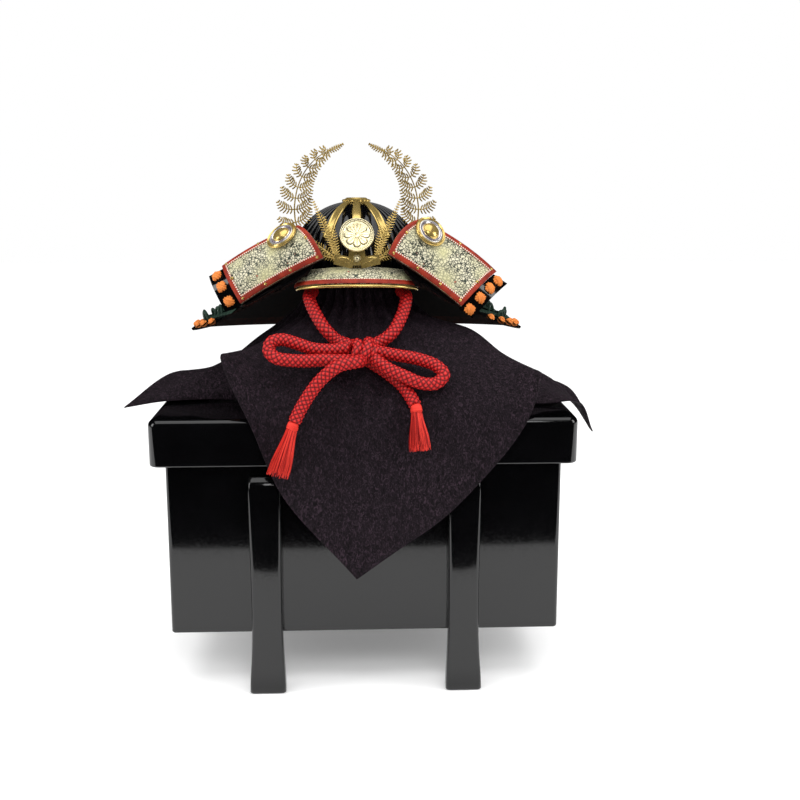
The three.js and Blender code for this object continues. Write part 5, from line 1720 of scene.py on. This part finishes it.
def crest_boss():
    """A small flower-shaped boss on the crest's base."""
    seat = (helmet_shift, -crest_depth - clearance, crest_foot + crest_base_height * 0.72)
    build = Build()
    rings = []
    for radius, height, petal in ((0.01, 0, 0), (3.4, 0, 1), (3.4, 0.8, 1), (3.0, 1.3, 1), (2.3, 1.2, 0.3),
                                  (2.1, 2.0, 0), (1.7, 2.7, 0), (1.0, 3.1, 0), (0.01, 3.2, 0)):
        ring = []
        for turn in angles(boss_flower_sides):
            size = radius - petal * 0.5 * (1 - abs(sin(turn * 4)))
            ring.append((seat[0] + size * cos(turn), seat[1] - height, seat[2] + size * sin(turn)))
        rings.append(ring)
    build.add(*loft(rings))
    piece = build.piece("gilt_crest_boss", [pale_gilt], sharp=40)
    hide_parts("crest_boss")


def crest_base():
    """The stepped plate keeps its CAD outline; ribs and a small grille stand on its front."""
    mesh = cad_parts["crest_base"].data.copy()
    mesh.name = "gilt_crest_base"
    mesh.materials.clear()
    piece = bpy.data.objects.new("gilt_crest_base", mesh)
    bpy.context.collection.objects.link(piece)
    join_corners(mesh, 1e-5, recalculate=True)
    mesh.materials.append(spray_gilt)
    for polygon in mesh.polygons:
        polygon.use_smooth = True
    mesh.set_sharp_from_angle(angle=radians(30))
    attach(piece, "root")
    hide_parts("crest_base")
    build = Build()
    front = -crest_depth - 0.05
    half = crest_base_width / 2
    for side in (-1, 1):
        for step in range(7):
            share = (step + 0.5) / 7
            reach = half * mix(0.5, 0.86, share)
            line = [Vector((side * (4 + (reach - 4) * t), crest_foot + mix(2.2, 9.8, share * 0.5 + t * 0.42)
                            + 1.4 * sin(t * pi))) for t in shares(6)]
            flat_bar(build, line, [0.3 + 0.45 * sin(t * pi) for t in shares(6)],
                     lambda x, z: front, 0.1, 0.8)
    build.piece("crest_base_ribs", [gilt], slot="gilt", sharp=60)
    grille = Build()
    for step in range(5):
        x = helmet_shift + (step - 2) * 1.55
        z = crest_foot + 1.3
        points, faces = loft([[(x - w, front - d, z - h), (x + w, front - d, z - h),
                               (x + w, front - d, z + h), (x - w, front - d, z + h)]
                              for w, h, d in ((0.5, 1.25, 0.0), (0.5, 1.25, 0.35), (0.25, 1.0, 0.6))])
        grille.add(points, faces)
    grille.piece("crest_grille", [rib_lacquer], slot="lacquer", sharp=30)


fern_frond("fern_frond_left", -1)
fern_frond("fern_frond_right", 1)
fern_spray("fern_spray_left", -1)
fern_spray("fern_spray_right", 1)
crest_disc()
crest_boss()
crest_base()


# Cloth and the post under it
cloth_thickness = 1.2
cloth_collar_width = 42
cloth_collar_depth = 48
cloth_collar_drop = 24
post_head_radius = 38
post_head_drop = 19
head_top = crown_z - bowl_wall - cloth_thickness - 2 * clearance
cloth_spoke_steps = 16
cloth_station_steps = 12
pleat_count = 30
pleat_depth = 6.0
hem_swell = 1.45
# Where each kind of fold starts and over what width it grows: heights, distances forward or out
# from the middle, and for cord_room the distance from the cord
front_side = (60, 50)
hang_start = (62, 40)
gather_top = (404, 16)
gather_bottom = (326, 34)
gather_start = (30, 9)
skirt_start = (46, 14)
skirt_end = (84, 60)
cord_room = (6, 6)
knot_top = (300, 24)
knot_bottom = (232, 110)
knot_side = (84, 20)
knot_fold_middle = 285
natural_base = 2.7182818
# Folds that the knot draws down the front: place across, tilt, width and depth
knot_folds = [(-34, -0.42, 7, 4.2), (-12, -0.12, 6, -2.6), (4, 0.06, 6, 3.2), (20, 0.3, 7, -2.2),
              (38, 0.5, 8, 3.8)]
# Cloth folds, clockwise from the front: azimuth in degrees, then three stations of each spoke, as
# shares of the lid's half width and half depth and of the rim's height over the lid
cloth_folds = [
    (0, (-0.028, -0.669, 0.465), (-0.033, -1.024, -0.009), (-0.041, -1.045, -1.199)),
    (14, (-0.172, -0.678, 0.465), (-0.261, -1.029, 0.009), (-0.378, -1.049, -0.553)),
    (29, (-0.294, -0.645, 0.491), (-0.428, -0.955, 0.158), (-0.519, -1.051, -0.009)),
    (42, (-0.439, -0.457, 0.526), (-0.55, -0.678, 0.469), (-0.656, -0.873, 0.456)),
    (52, (-0.411, -0.31, 0.5), (-0.489, -0.49, 0.289), (-0.55, -0.637, 0.246)),
    (62, (-0.383, -0.196, 0.439), (-0.433, -0.278, 0.193), (-0.5, -0.31, 0.018)),
    (71, (-0.433, -0.163, 0.404), (-0.589, -0.278, 0.14), (-0.767, -0.335, 0.018)),
    (76, (-0.467, -0.139, 0.404), (-0.711, -0.261, 0.149), (-0.978, -0.408, 0.018)),
    (81, (-0.511, -0.106, 0.404), (-0.844, -0.237, 0.158), (-1.156, -0.49, -0.009)),
    (88, (-0.533, 0.024, 0.439), (-0.756, -0.041, 0.228), (-0.956, -0.122, 0.189)),
    (97, (-0.511, 0.147, 0.439), (-0.7, 0.147, 0.211), (-0.844, 0.082, 0.154)),
    (109, (-0.467, 0.294, 0.456), (-0.633, 0.424, 0.246), (-0.75, 0.506, 0.132)),
    (133, (-0.339, 0.555, 0.57), (-0.428, 0.71, 0.412), (-0.489, 0.8, 0.307)),
    (157, (-0.189, 0.686, 0.5), (-0.233, 0.865, 0.263), (-0.267, 0.963, 0.105)),
    (168, (-0.106, 0.71, 0.474), (-0.133, 1.008, 0.079), (-0.161, 1.045, -0.14)),
    (180, (-0.028, 0.718, 0.465), (-0.028, 1.029, -0.009), (-0.028, 1.05, -0.526)),
    (192, (0.05, 0.71, 0.474), (0.078, 1.008, 0.079), (0.106, 1.05, -0.14)),
    (203, (0.133, 0.686, 0.5), (0.178, 0.865, 0.263), (0.211, 0.963, 0.105)),
    (227, (0.283, 0.555, 0.57), (0.372, 0.71, 0.412), (0.433, 0.8, 0.307)),
    (251, (0.422, 0.294, 0.456), (0.589, 0.424, 0.246), (0.711, 0.49, 0.123)),
    (259, (0.489, 0.147, 0.439), (0.722, 0.163, 0.193), (0.917, 0.098, 0.088)),
    (268, (0.522, 0.033, 0.439), (0.844, 0, 0.175), (1.061, -0.082, 0.026)),
    (277, (0.533, -0.082, 0.421), (0.978, -0.204, 0.096), (1.153, -0.327, -0.272)),
    (284, (0.5, -0.131, 0.421), (0.833, -0.327, 0.14), (1.044, -0.539, 0.018)),
    (290, (0.456, -0.18, 0.421), (0.678, -0.376, 0.149), (0.867, -0.596, 0.018)),
    (298, (0.411, -0.22, 0.439), (0.5, -0.343, 0.193), (0.6, -0.473, 0.018)),
    (308, (0.489, -0.351, 0.5), (0.622, -0.506, 0.281), (0.778, -0.702, 0.167)),
    (318, (0.522, -0.482, 0.575), (0.667, -0.653, 0.412), (0.825, -0.873, 0.307)),
    (324, (0.428, -0.571, 0.544), (0.622, -0.898, 0.237), (0.756, -1.037, 0.044)),
    (331, (0.333, -0.645, 0.509), (0.528, -1.019, 0.079), (0.65, -1.053, -0.237)),
    (346, (0.117, -0.678, 0.465), (0.206, -1.029, 0.009), (0.4, -1.049, -0.684)),
]
# Rows of the table above that reach the cloth's four corners
cloth_corners = (0, 8, 15, 22)


def cloth_spoke(azimuth, knee, edge, hem):
    angle = radians(azimuth)
    lift = clearance + cloth_thickness / 2

    def ring(half_width, half_depth, z):
        return Vector((helmet_shift - half_width * sin(angle), -half_depth * cos(angle), z))

    def station(place):
        across, deep, high = place
        return Vector((across * lid_width / 2, deep * lid_depth / 2, lid_top + high * (rim_z - lid_top)))

    def on_head(share):
        z = head_top - post_head_drop * share**2.2 + lift * (1 + share * 0.8)
        return ring(post_head_radius * share, post_head_radius * share, z)

    skirt = post_head_radius + lift + 2.6
    return [ring(0, 0, head_top + lift), on_head(0.5), on_head(0.8),
            ring(skirt, skirt + 1, head_top - post_head_drop - 1),
            ring(cloth_collar_width, cloth_collar_depth, rim_z - cloth_collar_drop),
            station(knee), station(edge), station(hem)]


def cloth_surface():
    """The cloth's middle surface, as spokes of points from the centre to the hem."""
    spokes = [cloth_spoke(*fold) for fold in cloth_folds]
    count = len(spokes)
    grid = []
    for index in range(count):
        for share in shares(cloth_spoke_steps)[:-1]:
            line = []
            for station in range(len(spokes[0])):
                a, b, c, d = (spokes[(index + k) % count][station] for k in (-1, 0, 1, 2))
                if station == len(spokes[0]) - 1:
                    a = b * 2 - c if index in cloth_corners else a
                    d = c * 2 - b if (index + 1) % count in cloth_corners else d
                line.append(b.copy() if station == 0 else catmull_rom(a, b, c, d, share))
            row = [line[0]]
            for spot in range(len(line) - 1):
                a = line[spot - 1] if spot else line[0] * 2 - line[1]
                d = line[spot + 2] if spot + 2 < len(line) else line[-1] * 2 - line[-2]
                for step in range(1, cloth_station_steps + 1):
                    row.append(catmull_rom(a, line[spot], line[spot + 1], d, step / cloth_station_steps))
            grid.append(row)
    return grid


def fold_cloth(point, cord_tree):
    """Moves a point of the smooth surface out into the gathers and the soft folds."""
    x, y, z = point
    turn = atan2(x - helmet_shift, -y)
    reach = hypot(x - helmet_shift, y)
    out = Vector((x - helmet_shift, y, 0))
    if out.length < 1:
        return point
    out.normalize()
    front = grown(-y, *front_side)
    hang = grown(reach, *hang_start)
    soft = 1.0 * sin(turn * 9 + 1.3) + 0.7 * sin(turn * 17 + 0.4) + 0.5 * sin(turn * 5 + z * 0.03)
    slow = 0.8 * sin(x * 0.052 + z * 0.031) + 0.6 * sin(x * 0.023 - z * 0.06 + 1.0)
    pleat = 0.5 + 0.5 * sin(turn * pleat_count + 1.4 * sin(turn * 3 + 0.5))
    gather = shrunk(z, *gather_top) * (1 - shrunk(z, *gather_bottom)) * grown(reach, *gather_start)
    skirt = grown(reach, *skirt_start) * (1 - grown(reach, *skirt_end)) * (1 - 0.75 * front)
    free = grown(cord_tree.find(point)[2], *cord_room)
    lift = pleat * free * pleat_depth * (gather + 0.4 * skirt)
    lift += 0.7 * hang * (1.6 + soft * (1 - 0.4 * front) + slow * front) * free
    strength = shrunk(z, *knot_top) * (1 - shrunk(z, *knot_bottom)) * grown(-y, *knot_side)
    drawn = 0.0
    for place, tilt, width, depth in knot_folds:
        away = x - place - tilt * (z - knot_fold_middle)
        drawn += depth * strength * natural_base ** (-(away / width) ** 2)
    return point + out * (lift + drawn * free)


def clear_of_lid(point):
    """Keeps a point of the cloth outside the lid's top and sides."""
    gap = cloth_thickness / 2 + clearance
    over = point.z - (lid_top + gap)
    beyond = max(abs(point.x) - (lid_width / 2 + gap), abs(point.y) - (lid_depth / 2 + gap))
    if over < 0 and beyond < 0:
        if over > beyond:
            point.z = lid_top + gap
        elif abs(point.x) - lid_width / 2 > abs(point.y) - lid_depth / 2:
            point.x = (lid_width / 2 + gap) * (1 if point.x > 0 else -1)
        else:
            point.y = (lid_depth / 2 + gap) * (1 if point.y > 0 else -1)
    return point


def cloth():
    """The square of crepe, gathered under the helmet, and a little thicker at its hem."""
    cord_line = smooth_route(chin_cord_route, 3)[0]
    cord_tree = kdtree.KDTree(len(cord_line))
    for index, point in enumerate(cord_line):
        cord_tree.insert(point, index)
    cord_tree.balance()
    grid = [[clear_of_lid(fold_cloth(point, cord_tree)) for point in row] for row in cloth_surface()]
    count, last = len(grid), len(grid[0]) - 1
    front, back = [], []
    for index, row in enumerate(grid):
        front_row, back_row = [], []
        for column, point in enumerate(row):
            if column == 0:
                normal = Vector((0, 0, 1))
            else:
                spokeward = row[min(column + 1, last)] - row[column - 1]
                around = grid[(index + 1) % count][column] - grid[index - 1][column]
                normal = spokeward.cross(around).normalized()
            half = cloth_thickness / 2 * (hem_swell if column == last - 1 else 1)
            front_row.append(point + normal * half)
            back_row.append(point - normal * half)
        front.append(front_row)
        back.append(back_row)
    points, faces = wall(front, back, True)
    piece = new_piece("crepe_cloth", points, faces, [dark_cloth], sharp=70)
    join_corners(piece.data, 2e-5)
    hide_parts("stand_cloth")


cloth()
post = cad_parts["stand_post"]
post.data.materials.clear()
post.data.materials.append(wood)

# Plain floor, background and soft studio light
floor_scale = (8, 5.42, 1)
floor_place = (0, 2.29, -0.0005)
# Name, place, target, width and height, and power of each light
lights = [
    ("overhead", (0, -0.3, 1.75), (0, -0.1, 0.2), (2.2, 1.5), 20),
    ("side_left", (-1.5, -0.5, 0.8), (0, 0, 0.3), (0.5, 0.9), 7),
    ("side_right", (1.5, -0.5, 0.8), (0, 0, 0.3), (0.5, 0.9), 7),
    ("front_fill", (0.2, -1.7, 1.5), (0, 0, 0.3), (0.9, 0.6), 8),
]
floor_material = bpy.data.materials.new("floor")
floor_material.use_nodes = True
floor_shader = floor_material.node_tree.nodes["Principled BSDF"]
floor_shader.inputs["Base Color"].default_value = (0.93, 0.93, 0.93, 1)
floor_shader.inputs["Emission Color"].default_value = (1, 1, 1, 1)
floor_shader.inputs["Emission Strength"].default_value = 0.12
floor_shader.inputs["Roughness"].default_value = 0.9
floor_shader.inputs["Specular IOR Level"].default_value = 0.1
bpy.ops.mesh.primitive_plane_add(size=1)
floor = bpy.context.object
floor.name = "floor"
floor.scale = floor_scale
floor.location = floor_place
floor.data.materials.append(floor_material)

world = bpy.data.worlds.new("studio")
bpy.context.scene.world = world
world.use_nodes = True
background = world.node_tree.nodes["Background"]
background.inputs["Color"].default_value = (1, 1, 1, 1)
background.inputs["Strength"].default_value = 1.0
world.cycles_visibility.glossy = False
bpy.context.scene.view_settings.view_transform = "Standard"


def softbox(name, place, target, size, power):
    light = bpy.data.lights.new(name, "AREA")
    light.shape = "RECTANGLE"
    light.size, light.size_y = size
    light.energy = power
    holder = bpy.data.objects.new(name, light)
    holder.location = place
    holder.rotation_euler = (Vector(target) - Vector(place)).to_track_quat("-Z", "Y").to_euler()
    bpy.context.collection.objects.link(holder)


for light_row in lights:
    softbox(*light_row)
